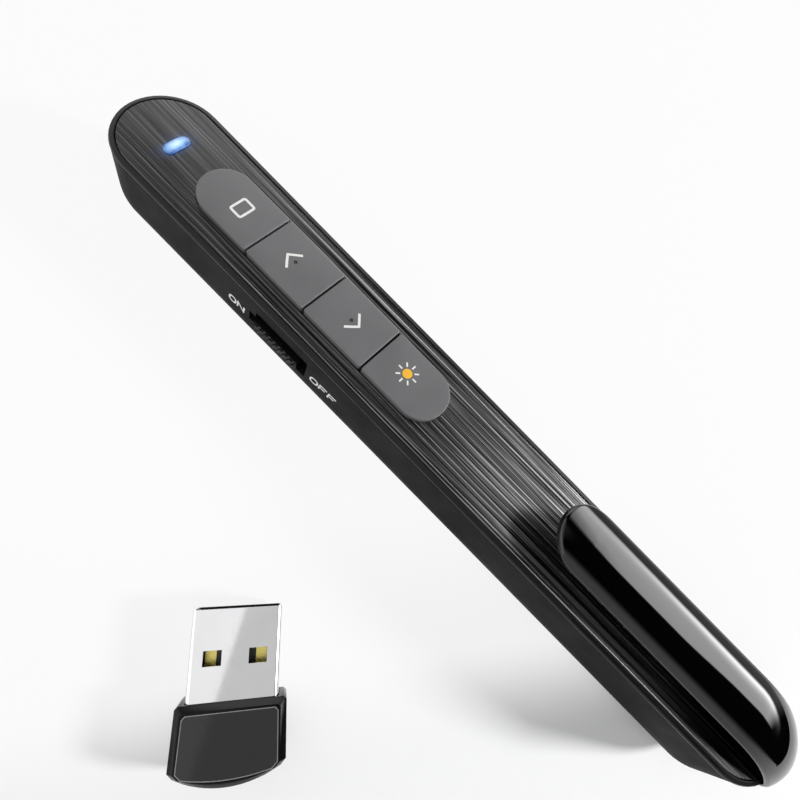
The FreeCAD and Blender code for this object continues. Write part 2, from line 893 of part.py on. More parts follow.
def make_battery_door():
    """A piece of the hull's own skin, hooked at the tail and with a thumb tongue at the nose end."""
    skin = round_the_handset(hull_half_section(0, hull_top), end_centre)
    skin = skin.cut(round_the_handset(hull_half_section(door_thickness, hull_top), end_centre))
    top = hull_half - door_half_width
    panel = skin.common(box(-door_half_width, door_half_width, door_tail_y, door_nose_y, -overrun, top))
    tongue = box(-door_tongue_half_width, door_tongue_half_width, door_nose_y,
                 door_nose_y + door_tongue_reach, 0, door_thickness)
    pieces = [panel, tongue]
    for side in (-1, 1):
        low_x = min(side * door_tab_inner, side * door_tab_outer)
        high_x = max(side * door_tab_inner, side * door_tab_outer)
        foot = door_tail_y + door_tab_reach
        tab = box(low_x, high_x, door_tail_y - door_tab_reach, foot, door_tab_low, door_tab_high)
        root = box(low_x, high_x, door_tail_y, foot, door_thickness / 2, door_tab_high)
        pieces.extend([tab, root])
    door = joined(pieces)
    grooves = []
    for index in range(door_grip_count):
        y = door_nose_y - door_grip_setback - index * door_grip_pitch
        grooves.append(box(-door_grip_half_length, door_grip_half_length, y - door_grip_width / 2,
                           y + door_grip_width / 2, -overrun, door_grip_depth))
    return door.cut(grooves)


def make_bay_magnet():
    return post(magnet_half, magnet_y, bay_top, bay_top + magnet_thickness)


def make_casing_screws():
    screws = []
    for y in screw_places_y:
        seat = screw_head_recess_depth
        head = upright(screw_head_radius, 0, y, seat - screw_head_height, seat)
        drive_top = seat - screw_head_height + screw_drive_depth
        half = screw_drive_width / 2
        drive = joined([
            box(-screw_drive_half, screw_drive_half, y - half, y + half, 0, drive_top),
            box(-half, half, y - screw_drive_half, y + screw_drive_half, 0, drive_top),
        ])
        shank = upright(screw_radius, 0, y, seat, deck_top - screw_tip_depth)
        screws.append(joined([head.cut(drive), shank]))
    return Part.makeCompound(screws)


def clip_strip():
    """Sweep the clip's cross-section along its side view: down the tail, round two bends, along the arm."""
    half = clip_half
    top = clip_top_z
    section = outline(section_point, (-half, top - clip_rise), [
        ((0, top), (half, top - clip_rise)),
        ((half, top - clip_depth),),
        ((-half, top - clip_depth),),
    ])
    turn = clip_bend_deg
    second_radius = clip_second_radius()
    arm_section = section.copy()
    arm_section.translate(Vector(0, clip_bend_start_y, 0))
    arm = arm_section.extrude(Vector(0, clip_free_end_y - clip_bend_start_y, 0))
    first_axis = Vector(0, clip_bend_start_y, top - clip_bend_radius)
    first = arm_section.revolve(first_axis, Vector(1, 0, 0), turn)
    second_section = arm_section.copy()
    second_section.rotate(first_axis, Vector(1, 0, 0), turn)
    reach = clip_bend_radius - second_radius
    second_axis = Vector(0, clip_bend_start_y - reach * math.sin(math.radians(turn)),
                         first_axis.z + reach * math.cos(math.radians(turn)))
    second = second_section.revolve(second_axis, Vector(1, 0, 0), 90 - turn)
    drop_section = second_section.copy()
    drop_section.rotate(second_axis, Vector(1, 0, 0), 90 - turn)
    drop = drop_section.extrude(Vector(0, 0, clip_root_z - second_axis.z))
    return joined([arm, first, second, drop])


def clip_second_radius():
    """Radius of the tighter bend, so that the clip comes down just outside the tail."""
    turn = math.radians(clip_bend_deg)
    run = clip_bend_start_y - clip_tail_y
    return (run - clip_bend_radius * math.sin(turn)) / (1 - math.sin(turn))


def make_clip():
    strip = clip_strip().common(clip_plan())
    half = clip_tongue_half_width
    tongue = box(-half, half, clip_tail_y + clip_depth / 2, clip_tongue_end_y,
                 clip_root_z, clip_root_z + clip_tongue_thickness)
    window = upright(clip_peg_radius + clip_peg_gap, 0, clip_peg_y, clip_root_z - overrun,
                     clip_root_z + clip_tongue_thickness + overrun)
    return joined([strip, tongue]).cut(window)


def clip_plan():
    """Plan outline of the clip: a half ellipse at its free end, straight sides to the tail."""
    unit = Part.ArcOfCircle(Part.Circle(Vector(0, 0, 0), Vector(0, 0, 1), 1), 0, math.pi).toShape()
    grow = FreeCAD.Matrix()
    grow.scale(clip_half, clip_end_length, 1)
    bow = unit.transformGeometry(grow)
    bow.translate(Vector(0, clip_free_end_y - clip_end_length, 0))
    start = Vector(clip_half, clip_free_end_y - clip_end_length, 0)
    stop = Vector(-clip_half, clip_free_end_y - clip_end_length, 0)
    low = clip_tail_y - overrun
    sides = Part.makePolygon([stop, Vector(-clip_half, low, 0), Vector(clip_half, low, 0), start])
    face = Part.Face(Part.Wire([bow] + sides.Edges))
    return face.extrude(Vector(0, 0, clip_top_z + overrun))


def placed_receiver(shape):
    """Turn a piece of the receiver and lay it on the table beside the handset."""
    shape.rotate(Vector(0, 0, 0), Vector(0, 0, 1), -receiver_turn_deg)
    shape.translate(Vector(-receiver_side_step, -receiver_tail_step, 0))
    return shape


def cap_outline(inset):
    """Plan outline of the receiver's cap, wider at its base, with a bowed end."""
    mouth = cap_mouth_width / 2 - inset
    base = cap_base_width / 2 - inset
    side = -cap_side_length
    end = -cap_length + inset
    corner = (base - cap_corner_drop, side - cap_corner_drop)
    bow = (corner[0] / 2, end + (corner[1] - end) / 4)
    shoulder = cap_shoulder
    return outline(flat_point, (mouth - shoulder, -inset), [
        ((-mouth + shoulder, -inset),),
        ((-mouth, -inset - shoulder),),
        ((-base, side),),
        ((-corner[0], corner[1]),),
        ((0, end), (corner[0], corner[1])),
        ((base, side),),
        ((mouth, -inset - shoulder),),
    ])


def plug_low_z():
    return (cap_thickness - plug_height) / 2


def plug_tube(shrink, low_y, high_y):
    """Rounded tube blank of the plug's shell, shrunk for its inside."""
    half = plug_width / 2 - shrink
    low = plug_low_z() + shrink
    high = plug_low_z() + plug_height - shrink
    solid = box(-half, half, low_y, high_y, low, high)
    return solid.makeFillet(plug_corner - shrink, edges_along(solid, Vector(0, 1, 0)))


def make_receiver_cap():
    lower = cap_outline(0).extrude(Vector(0, 0, cap_thickness - 2 * cap_edge_bevel))
    lower.translate(Vector(0, 0, cap_edge_bevel))
    body = lower
    for level, top in ((cap_thickness - cap_edge_bevel, True), (cap_edge_bevel, False)):
        wide = cap_outline(0).OuterWire
        slim = cap_outline(cap_edge_inset).OuterWire
        wide.translate(Vector(0, 0, level))
        slim.translate(Vector(0, 0, cap_thickness if top else 0))
        body = body.fuse(Part.makeLoft([wide, slim], True, True))
    body = body.removeSplitter()
    room = plug_tube(-fit_gap, -cap_length + 2 * cap_wall, overrun)
    seat = cap_outline(cap_edge_inset + front_inset).extrude(Vector(0, 0, cap_thickness))
    seat.translate(Vector(0, 0, cap_thickness - front_depth))
    return body.cut([room, seat])


def make_receiver_front():
    front = cap_outline(cap_edge_inset + front_inset).extrude(Vector(0, 0, front_depth))
    front.translate(Vector(0, 0, cap_thickness - front_depth))
    return front


def make_receiver_plug_shell():
    shell = plug_tube(0, -plug_buried, plug_length)
    shell = shell.cut(plug_tube(plug_wall, -plug_buried - overrun, plug_length + overrun))
    cuts = []
    for side in (-1, 1):
        x = side * plug_window_offset
        y = plug_length - plug_window_setback
        cuts.append(box(x - plug_window_width / 2, x + plug_window_width / 2,
                        y - plug_window_length / 2, y + plug_window_length / 2,
                        -overrun, cap_thickness + overrun))
    return shell.cut(cuts)


def tongue_top_z():
    return plug_low_z() + plug_wall + tongue_thickness


def make_receiver_tongue():
    half = plug_width / 2 - plug_wall - tongue_gap
    low = plug_low_z() + plug_wall
    tongue = box(-half, half, 0, plug_length - tongue_setback, low, tongue_top_z())
    low_edges = []
    for edge in edges_along(tongue, Vector(0, 1, 0)):
        if edge.Vertexes[0].Point.z < tongue_top_z():
            low_edges.append(edge)
    return tongue.makeFillet(plug_corner - plug_wall, low_edges)


def make_receiver_contacts():
    strips = []
    half = plug_width / 2
    for share, width in zip(contact_places_share, contact_widths):
        x = half * share
        strips.append(box(x - width / 2, x + width / 2, contact_strip_inset,
                          plug_length - tongue_setback - contact_strip_inset,
                          tongue_top_z(), tongue_top_z() + contact_strip_thickness))
    return Part.makeCompound(strips)


def make_receiver_board():
    low = plug_low_z() + plug_wall + tongue_thickness - receiver_board_thickness
    return box(-receiver_board_half_width, receiver_board_half_width, -cap_length + 2 * cap_wall,
               0, low, low + receiver_board_thickness)


def make_receiver_chip():
    half = receiver_chip_side / 2
    middle = -cap_length / 2
    low = tongue_top_z()
    return box(-half, half, middle - half, middle + half, low, low + receiver_chip_height)


def export(name, shape):
    shape.exportStep("parts/" + name + ".step")


handset = {
    "lower_hull": make_lower_hull(),
    "upper_shell": make_upper_shell(),
    "brushed_plate": make_brushed_plate(),
    "led_lens": make_led_lens(),
    "led_chip": make_led_chip(),
    "circuit_board": make_circuit_board(),
    "radio_chip": make_radio_chip(),
    "crystal": make_crystal(),
    "power_switch_body": make_power_switch_body(),
    "power_switch_lever": make_power_switch_lever(),
    "power_knob": make_power_knob(),
    "laser_barrel": make_laser_barrel(),
    "laser_lens": make_laser_lens(),
    "nose_window": make_nose_window(),
    "battery_cell": make_battery_cell(),
    "battery_leaf": make_battery_leaf(),
    "battery_contact": make_battery_contact(),
    "battery_door": make_battery_door(),
    "bay_magnet": make_bay_magnet(),
    "casing_screws": make_casing_screws(),
    "clip": make_clip(),
}
for key_name in key_lengths:
    place_name = key_name[len("key_"):]
    handset[key_name] = make_key(key_name)
    handset["switch_" + place_name] = make_switch(key_name)
    handset["plunger_" + place_name] = make_plunger(key_name)

receiver = {
    "receiver_cap": make_receiver_cap(),
    "receiver_front": make_receiver_front(),
    "receiver_plug_shell": make_receiver_plug_shell(),
    "receiver_tongue": make_receiver_tongue(),
    "receiver_contacts": make_receiver_contacts(),
    "receiver_board": make_receiver_board(),
    "receiver_chip": make_receiver_chip(),
}

for node, solid in handset.items():
    export(node, solid)
for node, solid in receiver.items():
    export(node, placed_receiver(solid))
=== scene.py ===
# Looks of the wireless presentation clicker: materials, soft edges, printing, floor, light and camera.
# Lengths in the tables are millimetres in the handset's own frame: +Y to the nose, +Z up through the keys.

import math

import bpy
import bmesh
from mathutils import Matrix, Vector


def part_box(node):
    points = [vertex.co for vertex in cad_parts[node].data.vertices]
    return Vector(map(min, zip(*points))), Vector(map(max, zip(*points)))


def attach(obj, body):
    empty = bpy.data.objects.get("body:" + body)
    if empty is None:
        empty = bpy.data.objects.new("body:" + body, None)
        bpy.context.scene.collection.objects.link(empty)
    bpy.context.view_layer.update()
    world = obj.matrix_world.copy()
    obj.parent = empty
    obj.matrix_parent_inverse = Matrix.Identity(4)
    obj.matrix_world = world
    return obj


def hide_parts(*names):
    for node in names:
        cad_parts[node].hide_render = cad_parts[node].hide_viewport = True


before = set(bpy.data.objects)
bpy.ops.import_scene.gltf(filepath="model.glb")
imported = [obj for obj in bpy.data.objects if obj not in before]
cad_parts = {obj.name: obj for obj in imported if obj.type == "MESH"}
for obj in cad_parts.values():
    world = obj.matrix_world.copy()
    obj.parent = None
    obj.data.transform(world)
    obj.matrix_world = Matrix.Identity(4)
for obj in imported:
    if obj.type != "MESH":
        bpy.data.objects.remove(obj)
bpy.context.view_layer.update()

MM = 0.001
WHITE = (0.978, 0.978, 0.98)
scene = bpy.context.scene


# Node graphs

class Graph:
    """Short calls that add nodes to one tree and return their output sockets."""

    def __init__(self, tree):
        self.tree = tree

    def node(self, kind, **settings):
        made = self.tree.nodes.new(kind)
        for key, value in settings.items():
            setattr(made, key, value)
        return made

    def put(self, socket, value):
        """Link a socket to another one, or set its value."""
        if isinstance(value, bpy.types.NodeSocket):
            self.tree.links.new(value, socket)
        elif value is not None:
            socket.default_value = value

    def math(self, operation, a, b=None, c=None):
        made = self.node("ShaderNodeMath", operation=operation)
        for socket, value in zip(made.inputs, (a, b, c)):
            self.put(socket, value)
        return made.outputs[0]

    def step(self, value, low, high, from_value=0.0, to_value=1.0):
        """Smooth step of a value from low to high."""
        made = self.node("ShaderNodeMapRange", interpolation_type="SMOOTHSTEP")
        for name, number in (("Value", value), ("From Min", low), ("From Max", high),
                             ("To Min", from_value), ("To Max", to_value)):
            self.put(made.inputs[name], number)
        return made.outputs[0]

    def place(self, scale=(1, 1, 1)):
        """Object coordinates in metres, stretched."""
        coords = self.node("ShaderNodeTexCoord").outputs["Object"]
        made = self.node("ShaderNodeMapping")
        self.put(made.inputs["Vector"], coords)
        made.inputs["Scale"].default_value = scale
        return made.outputs[0]

    def axes(self, kind="Object"):
        """The x, y and z of the object coordinates, or of a direction in the world."""
        split = self.node("ShaderNodeSeparateXYZ")
        self.put(split.inputs[0], self.node("ShaderNodeTexCoord").outputs[kind])
        return tuple(split.outputs)

    def noise(self, scale=(1, 1, 1), size=1.0, detail=2.0, rough=0.5):
        made = self.node("ShaderNodeTexNoise")
        self.put(made.inputs["Vector"], self.place(scale))
        made.inputs["Scale"].default_value = size
        made.inputs["Detail"].default_value = detail
        made.inputs["Roughness"].default_value = rough
        return made.outputs["Fac"]

    def ramp(self, fac, stops):
        made = self.node("ShaderNodeValToRGB")
        self.put(made.inputs[0], fac)
        bar = made.color_ramp
        while len(bar.elements) < len(stops):
            bar.elements.new(0.5)
        for element, (at, colour) in zip(bar.elements, stops):
            element.position = at
            element.color = rgba(colour)
        return made.outputs[0]

    def blend(self, fac, a, b):
        """Colour a where the share is 0 and colour b where it is 1."""
        made = self.node("ShaderNodeMix", data_type="RGBA")
        # A mix node has its colours at inputs 6 and 7 and at output 2
        self.put(made.inputs[0], fac)
        self.put(made.inputs[6], rgba(a))
        self.put(made.inputs[7], rgba(b))
        return made.outputs[2]

    def bump(self, height, depth):
        made = self.node("ShaderNodeBump")
        made.inputs["Distance"].default_value = depth
        self.put(made.inputs["Height"], height)
        return made.outputs[0]

    def rays(self, *kinds):
        """1 on a ray of any of these kinds, 0 on all others."""
        path = self.node("ShaderNodeLightPath")
        seen = path.outputs[kinds[0]]
        for kind in kinds[1:]:
            seen = self.math("MAXIMUM", seen, path.outputs[kind])
        return seen

    def mix_shaders(self, fac, first, second):
        made = self.node("ShaderNodeMixShader")
        for socket, value in zip(made.inputs, (fac, first, second)):
            self.put(socket, value)
        return made.outputs[0]

    def background(self, colour, strength):
        made = self.node("ShaderNodeBackground")
        made.inputs["Color"].default_value = rgba(colour)
        self.put(made.inputs["Strength"], strength)
        return made.outputs[0]


def rgba(colour):
    """Four numbers from a grey or a colour; a socket stays as it is."""
    if isinstance(colour, bpy.types.NodeSocket):
        return colour
    if isinstance(colour, (int, float)):
        return (colour, colour, colour, 1.0)
    return tuple(colour)[:3] + (1.0,)


def shades(colour, spread):
    """Two ramp stops, a darker and a paler shade of one colour."""
    dark = tuple(c * (1 - spread) for c in colour)
    pale = tuple(c * (1 + spread) for c in colour)
    return [(0.3, dark), (0.7, pale)]


def material(name, rough, metal=0.0, **inputs):
    """A material with its own Principled shader, and the graph to add to it."""
    made = bpy.data.materials.new(name)
    made.use_nodes = True
    shader = made.node_tree.nodes["Principled BSDF"]
    shader.inputs["Roughness"].default_value = rough
    shader.inputs["Metallic"].default_value = metal
    for key, value in inputs.items():
        shader.inputs[key.replace("_", " ")].default_value = value
    return made, Graph(made.node_tree), shader.inputs


def grained_plastic(name, colour, rough, grain=0.18, depth=0.006, tint=0.12, spread=0.08, **inputs):
    """Moulded plastic: fine grain in millimetres, faint flow patches and uneven gloss."""
    made, g, sockets = material(name, rough, **inputs)
    fine = g.noise(size=1 / (grain * MM), detail=2.5)
    broad = g.noise(size=1 / (6 * MM), detail=3.0)
    mixed = g.math("MULTIPLY_ADD", broad, 0.6, g.math("MULTIPLY", fine, 0.4))
    g.put(sockets["Base Color"], g.ramp(mixed, shades(colour, tint)))
    g.put(sockets["Roughness"], g.step(mixed, 0.3, 0.7, rough - spread, rough + spread))
    g.put(sockets["Normal"], g.bump(fine, depth * MM))
    return made


def brushed_metal(name, colour, rough, along, pitch=0.12, run=8.0):
    """Metal with fine lines along one axis, pitch millimetres wide and run millimetres long."""
    made, g, sockets = material(name, rough, metal=1.0)
    scale = tuple(1 / (run * MM) if axis else 1 / (pitch * MM) for axis in along)
    lines = g.noise(scale=scale, detail=3.0, rough=0.65)
    g.put(sockets["Base Color"], g.ramp(lines, shades(colour, 0.2)))
    g.put(sockets["Roughness"], g.step(lines, 0.3, 0.7, rough * 0.8, rough * 1.25))
    g.put(sockets["Normal"], g.bump(lines, 0.002 * MM))
    return made


# Materials

# Status light: its place, how far its lit core reaches, and how far the glow painted on the plate round it
# reaches, along and across the handset
LED_Y = 61.9
LED_CORE = (1.05, 2.35)
LED_PAINTED_SPILL = (1.5, 2.9)

# Brushing of the plate: width and length of a streak, and where it turns finer towards the nose
FINE_STREAK = (0.13, 14)
WIDE_STREAK = (0.34, 45)
DEEP_STREAK = (0.28, 60)
FINER_FROM, FINER_TO = 20.0, 56.0


def streaks(g, streak, detail, per_height=1):
    """Noise drawn out along the handset, with per_height patches to a millimetre of height."""
    width, length = streak
    return g.noise(scale=(1 / (width * MM), 1 / (length * MM), per_height / MM), detail=detail)


def light_reach(g, half_y, half_x):
    """How far a point lies from the status light, as a share of an ellipse round it."""
    x, y, _ = g.axes()
    along = g.math("DIVIDE", g.math("SUBTRACT", y, LED_Y * MM), half_y * MM)
    across = g.math("DIVIDE", x, half_x * MM)
    square = g.math("ADD", g.math("MULTIPLY", along, along), g.math("MULTIPLY", across, across))
    return g.math("SQRT", square)


def plate_material():
    """Dark anodised aluminium, brushed along the handset, with a painted blue glow at the nose where the
    status light spills on it.
    """
    made, g, sockets = material("plate_metal_brushed", 0.34, metal=1.0)
    y = g.axes()[1]
    fine = streaks(g, FINE_STREAK, 1.0)
    wide = streaks(g, WIDE_STREAK, 1.0)
    lines = g.math("MULTIPLY_ADD", wide, 0.4, g.math("MULTIPLY", fine, 0.6))
    base = g.ramp(lines, [(0.34, 0.018), (0.46, 0.066), (0.54, 0.104), (0.66, 0.250)])
    evened = g.step(y, FINER_FROM * MM, FINER_TO * MM, 0.0, 0.62)
    base = g.blend(evened, base, 0.105)
    deep = streaks(g, DEEP_STREAK, 0.0, 3)
    share = g.step(y, FINER_FROM * MM, FINER_TO * MM, 1.0, 0.30)
    base = g.blend(g.math("MULTIPLY", share, g.step(deep, 0.32, 0.40, 0.95, 0.0)), base, 0.005)
    base = g.blend(g.math("MULTIPLY", share, g.step(deep, 0.62, 0.70, 0.0, 0.85)), base, 0.48)
    g.put(sockets["Base Color"], base)
    g.put(sockets["Roughness"], g.step(lines, 0.35, 0.65, 0.26, 0.34))
    g.put(sockets["Normal"], g.bump(lines, 0.001 * MM))
    sockets["Anisotropic"].default_value = 0.4
    tangent = g.node("ShaderNodeTangent", direction_type="RADIAL", axis="X")
    g.put(sockets["Tangent"], tangent.outputs[0])
    # Painted light: blue emission on the plate round the status light stands in for the glow it spills
    painted_spill = g.step(light_reach(g, *LED_PAINTED_SPILL), 0.5, 1.9, 1.0, 0.0)
    blue = [(0.0, (0.0, 0.0, 0.0)), (0.5, (0.001, 0.004, 0.014)), (1.0, (0.008, 0.030, 0.090))]
    g.put(sockets["Emission Color"], g.ramp(painted_spill, blue))
    sockets["Emission Strength"].default_value = 1.0
    return made


def clip_material():
    """Polished black plastic with the faint orange peel of a moulding."""
    made, g, sockets = material("clip_plastic_gloss", 0.035)
    peel = g.noise(size=1 / (2.6 * MM), detail=1.0)
    haze = g.noise(size=1 / (0.5 * MM), detail=4.0, rough=0.7)
    g.put(sockets["Base Color"], g.ramp(haze, [(0.3, 0.0008), (0.7, 0.0014)]))
    g.put(sockets["Roughness"], g.step(haze, 0.35, 0.75, 0.03, 0.05))
    g.put(sockets["Normal"], g.bump(peel, 0.004 * MM))
    return made


def led_material():
    """Lit light slot: a white-blue core that turns blue towards its ends."""
    made, g, sockets = material("led_plastic_lit", 0.25)
    reach = light_reach(g, *LED_CORE)
    cloud = g.noise(size=1 / (0.7 * MM), detail=2.0)
    reach = g.math("ADD", reach, g.math("MULTIPLY", g.math("SUBTRACT", cloud, 0.5), 0.35))
    glow = [(0.0, (0.60, 0.78, 0.90)), (0.45, (0.38, 0.58, 0.86)), (0.75, (0.15, 0.28, 0.56)),
            (1.0, (0.03, 0.07, 0.18))]
    g.put(sockets["Base Color"], g.ramp(reach, [(0.0, (0.2, 0.3, 0.4)), (1.0, (0.02, 0.06, 0.2))]))
    g.put(sockets["Emission Color"], g.ramp(reach, glow))
    sockets["Emission Strength"].default_value = 1.0
    return made


def print_material(name, colour):
    """Pad-printed ink: a thin, very slightly uneven coat."""
    made, g, sockets = material(name, 0.45)
    speck = g.noise(size=1 / (0.09 * MM), detail=2.0)
    g.put(sockets["Base Color"], g.ramp(speck, [(0.25, tuple(c * 0.86 for c in colour)), (0.55, colour)]))
    g.put(sockets["Normal"], g.bump(speck, 0.004 * MM))
    return made


def board_material(name):
    """Green solder mask over winding copper tracks."""
    made, g, sockets = material(name, 0.35)
    tracks = g.node("ShaderNodeTexWave", wave_type="BANDS", bands_direction="X")
    g.put(tracks.inputs["Vector"], g.place())
    tracks.inputs["Scale"].default_value = 130.0
    tracks.inputs["Distortion"].default_value = 9.0
    tracks.inputs["Detail"].default_value = 1.0
    line = g.step(tracks.outputs["Fac"], 0.62, 0.72)
    weave = g.noise(size=1 / (0.3 * MM), detail=2.0)
    base = g.ramp(weave, [(0.3, (0.006, 0.050, 0.020)), (0.7, (0.010, 0.075, 0.030))])
    g.put(sockets["Base Color"], g.blend(g.math("MULTIPLY", line, 0.8), base, (0.030, 0.145, 0.050)))
    g.put(sockets["Normal"], g.bump(line, 0.02 * MM))
    return made


def cell_material():
    """Battery jacket in two plain bands with a bare steel cap at each end."""
    made, g, sockets = material("cell_can_wrapped", 0.3)
    low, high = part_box("battery_cell")
    tail_cap, seam, nose_cap = 0.025, 0.70, 0.97
    share = g.math("DIVIDE", g.math("SUBTRACT", g.axes()[1], low.y), high.y - low.y)
    scuff = g.noise(scale=(1 / MM, 1 / (6 * MM), 1 / MM), detail=3.0)
    share = g.math("ADD", share, g.math("MULTIPLY", g.math("SUBTRACT", scuff, 0.5), 0.004))
    band = g.ramp(share, [(0.0, (0.55, 0.55, 0.56)), (tail_cap, (0.012, 0.012, 0.014)),
                          (seam, (0.30, 0.13, 0.035)), (nose_cap, (0.60, 0.60, 0.62))])
    band.node.color_ramp.interpolation = "CONSTANT"
    g.put(sockets["Base Color"], g.blend(g.math("MULTIPLY", scuff, 0.12), band, 0.02))
    bare = g.math("ADD", g.math("LESS_THAN", share, tail_cap), g.math("GREATER_THAN", share, nose_cap))
    g.put(sockets["Metallic"], g.math("MAXIMUM", bare, 0.25))
    g.put(sockets["Roughness"], g.step(scuff, 0.3, 0.7, 0.22, 0.38))
    return made


def glass_material(name, tint):
    """Clear or smoked glass with a little dust."""
    made, g, sockets = material(name, 0.04, Transmission_Weight=0.9, IOR=1.5)
    dust = g.noise(size=1 / (0.4 * MM), detail=3.0)
    g.put(sockets["Base Color"], g.ramp(dust, [(0.3, tuple(c * 0.9 for c in tint)), (0.7, tint)]))
    g.put(sockets["Roughness"], g.step(dust, 0.5, 0.8, 0.03, 0.09))
    return made


def plug_material():
    """Bright plated steel of the plug, with slow changes of shade and gloss."""
    made, g, sockets = material("plug_steel_bright", 0.06, metal=1.0)
    slow = g.noise(size=1 / (4 * MM), detail=1.0)
    drawn = g.noise(size=1 / (0.9 * MM), detail=1.0)
    g.put(sockets["Base Color"], g.ramp(slow, [(0.3, (0.76, 0.76, 0.77)), (0.7, (0.80, 0.80, 0.81))]))
    g.put(sockets["Roughness"], g.step(drawn, 0.3, 0.7, 0.03, 0.05))
    return made


def receiver_gloss(name, grey, rough, **inputs):
    """Glossy black moulding with slow waves in its polish."""
    made, g, sockets = material(name, rough, **inputs)
    peel = g.noise(size=1 / (1.4 * MM), detail=2.0)
    fine = g.noise(size=1 / (0.25 * MM), detail=3.0)
    g.put(sockets["Base Color"], g.ramp(fine, [(0.3, grey * 0.9), (0.7, grey * 1.12)]))
    g.put(sockets["Roughness"], g.step(fine, 0.3, 0.7, rough * 0.85, rough * 1.2))
    g.put(sockets["Normal"], g.bump(peel, 0.003 * MM))
    return made


ALONG_X, ALONG_Y, ALONG_Z = (1, 0, 0), (0, 1, 0), (0, 0, 1)
MATT = {"rough": 0.58, "Specular_IOR_Level": 0.07}

finishes = {
    "hull": grained_plastic("hull_plastic_grained", (0.0080, 0.0080, 0.0083), **MATT),
    "rim": grained_plastic("rim_plastic_satin", (0.009, 0.009, 0.0093), 0.36, grain=0.12, depth=0.003,
                           Specular_IOR_Level=0.2),
    "plate": plate_material(),
    "led": led_material(),
    "led_chip": grained_plastic("led_chip_body_cream", (0.70, 0.66, 0.50), 0.4),
    "board": board_material("board_laminate_green"),
    "chip": grained_plastic("chip_package_black", (0.018, 0.018, 0.019), 0.6, grain=0.08),
    "can": brushed_metal("crystal_can_nickel", (0.62, 0.61, 0.58), 0.28, ALONG_Y),
    "switch_can": brushed_metal("switch_metal_tin", (0.58, 0.58, 0.57), 0.32, ALONG_Y),
    "lever": grained_plastic("switch_lever_plastic_black", (0.02, 0.02, 0.02), 0.45),
    # Painted shade: the knob is coloured darker than the hull plastic, for the shade in the switch's recess
    "knob": grained_plastic("knob_plastic_painted_shade", (0.0025, 0.0025, 0.0026), 0.45, grain=0.1, depth=0.004,
                            Specular_IOR_Level=0.07),
    "brass": brushed_metal("laser_brass_turned", (0.72, 0.50, 0.20), 0.26, ALONG_Y, pitch=0.15, run=5.0),
    "lens": glass_material("lens_glass_clear", (0.95, 0.97, 1.0)),
    "window": glass_material("window_glass_smoke", (0.35, 0.05, 0.05)),
    "cell": cell_material(),
    "spring": brushed_metal("spring_steel_nickelled", (0.64, 0.63, 0.60), 0.25, ALONG_Z),
    "contact": brushed_metal("contact_steel_nickelled", (0.66, 0.65, 0.62), 0.25, ALONG_Z),
    "door": grained_plastic("door_plastic_grained", (0.0085, 0.0085, 0.0088), **MATT),
    "magnet": brushed_metal("magnet_nickel_plated", (0.60, 0.60, 0.61), 0.2, ALONG_X),
    "screw": brushed_metal("screw_steel_black", (0.16, 0.16, 0.17), 0.3, ALONG_Z, pitch=0.1),
    "clip": clip_material(),
    "cap": receiver_gloss("receiver_plastic_gloss", 0.003, 0.14, Specular_IOR_Level=0.14),
    "front": receiver_gloss("receiver_front_plastic_gloss", 0.010, 0.06),
    # Painted highlight: pale grey for the strip round the receiver's front
    "front_painted_highlight": receiver_gloss("receiver_front_painted_highlight", 0.20, 0.18),
    "plug": plug_material(),
    "tongue": grained_plastic("tongue_plastic_black", (0.03, 0.03, 0.03), 0.4),
    "gold": brushed_metal("contact_gold_plated", (0.84, 0.72, 0.22), 0.34, ALONG_Y),
    "receiver_board": board_material("receiver_board_laminate_green"),
    "receiver_chip": grained_plastic("receiver_chip_package_black", (0.018, 0.018, 0.019), 0.6, grain=0.08),
    "key": grained_plastic("key_plastic_grey", (0.138, 0.138, 0.142), 0.42, grain=0.14, depth=0.004,
                           tint=0.06),
    "push_switch": grained_plastic("push_switch_plastic_black", (0.03, 0.03, 0.03), 0.45),
    "plunger": grained_plastic("plunger_plastic_white", (0.60, 0.60, 0.56), 0.42),
    "ink": print_material("print_ink_cream", (0.90, 0.89, 0.86)),
    "letter_ink": print_material("print_ink_white", (0.95, 0.95, 0.945)),
    "sun_ink": print_material("print_ink_amber", (0.95, 0.52, 0.045)),
    # Painted shade: dark colour for the small dots on the page keys
    "dark": grained_plastic("dot_painted_shade", (0.015, 0.015, 0.016), 0.5),
}

node_finish = {
    "lower_hull": "hull", "upper_shell": "rim", "brushed_plate": "plate", "led_lens": "led",
    "led_chip": "led_chip", "circuit_board": "board", "radio_chip": "chip", "crystal": "can",
    "power_switch_body": "switch_can", "power_switch_lever": "lever", "power_knob": "knob",
    "laser_barrel": "brass", "laser_lens": "lens", "nose_window": "window", "battery_cell": "cell",
    "battery_leaf": "spring", "battery_contact": "contact", "battery_door": "door",
    "bay_magnet": "magnet", "casing_screws": "screw", "clip": "clip", "receiver_cap": "cap",
    "receiver_front": "front", "receiver_plug_shell": "plug", "receiver_tongue": "tongue",
    "receiver_contacts": "gold", "receiver_board": "receiver_board", "receiver_chip": "receiver_chip",
}
for place in ("screen", "page_up", "page_down", "laser"):
    node_finish["key_" + place] = "key"
    node_finish["switch_" + place] = "push_switch"
    node_finish["plunger_" + place] = "plunger"

for node, finish in node_finish.items():
    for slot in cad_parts[node].material_slots:
        slot.material = finishes[finish]


# Mesh helpers

# Points closer than WELD are joined; a bend reaches out by 1 / MITRE_LIMIT half strokes at most
WELD = 0.0005
MITRE_LIMIT = 0.45


def shade(work, smooth_deg):
    """Smooth shading, with the edges past an angle kept crisp."""
    for edge in work.edges:
        edge.smooth = len(edge.link_faces) == 2 and edge.calc_face_angle(0.0) < math.radians(smooth_deg)
    for face in work.faces:
        face.smooth = True


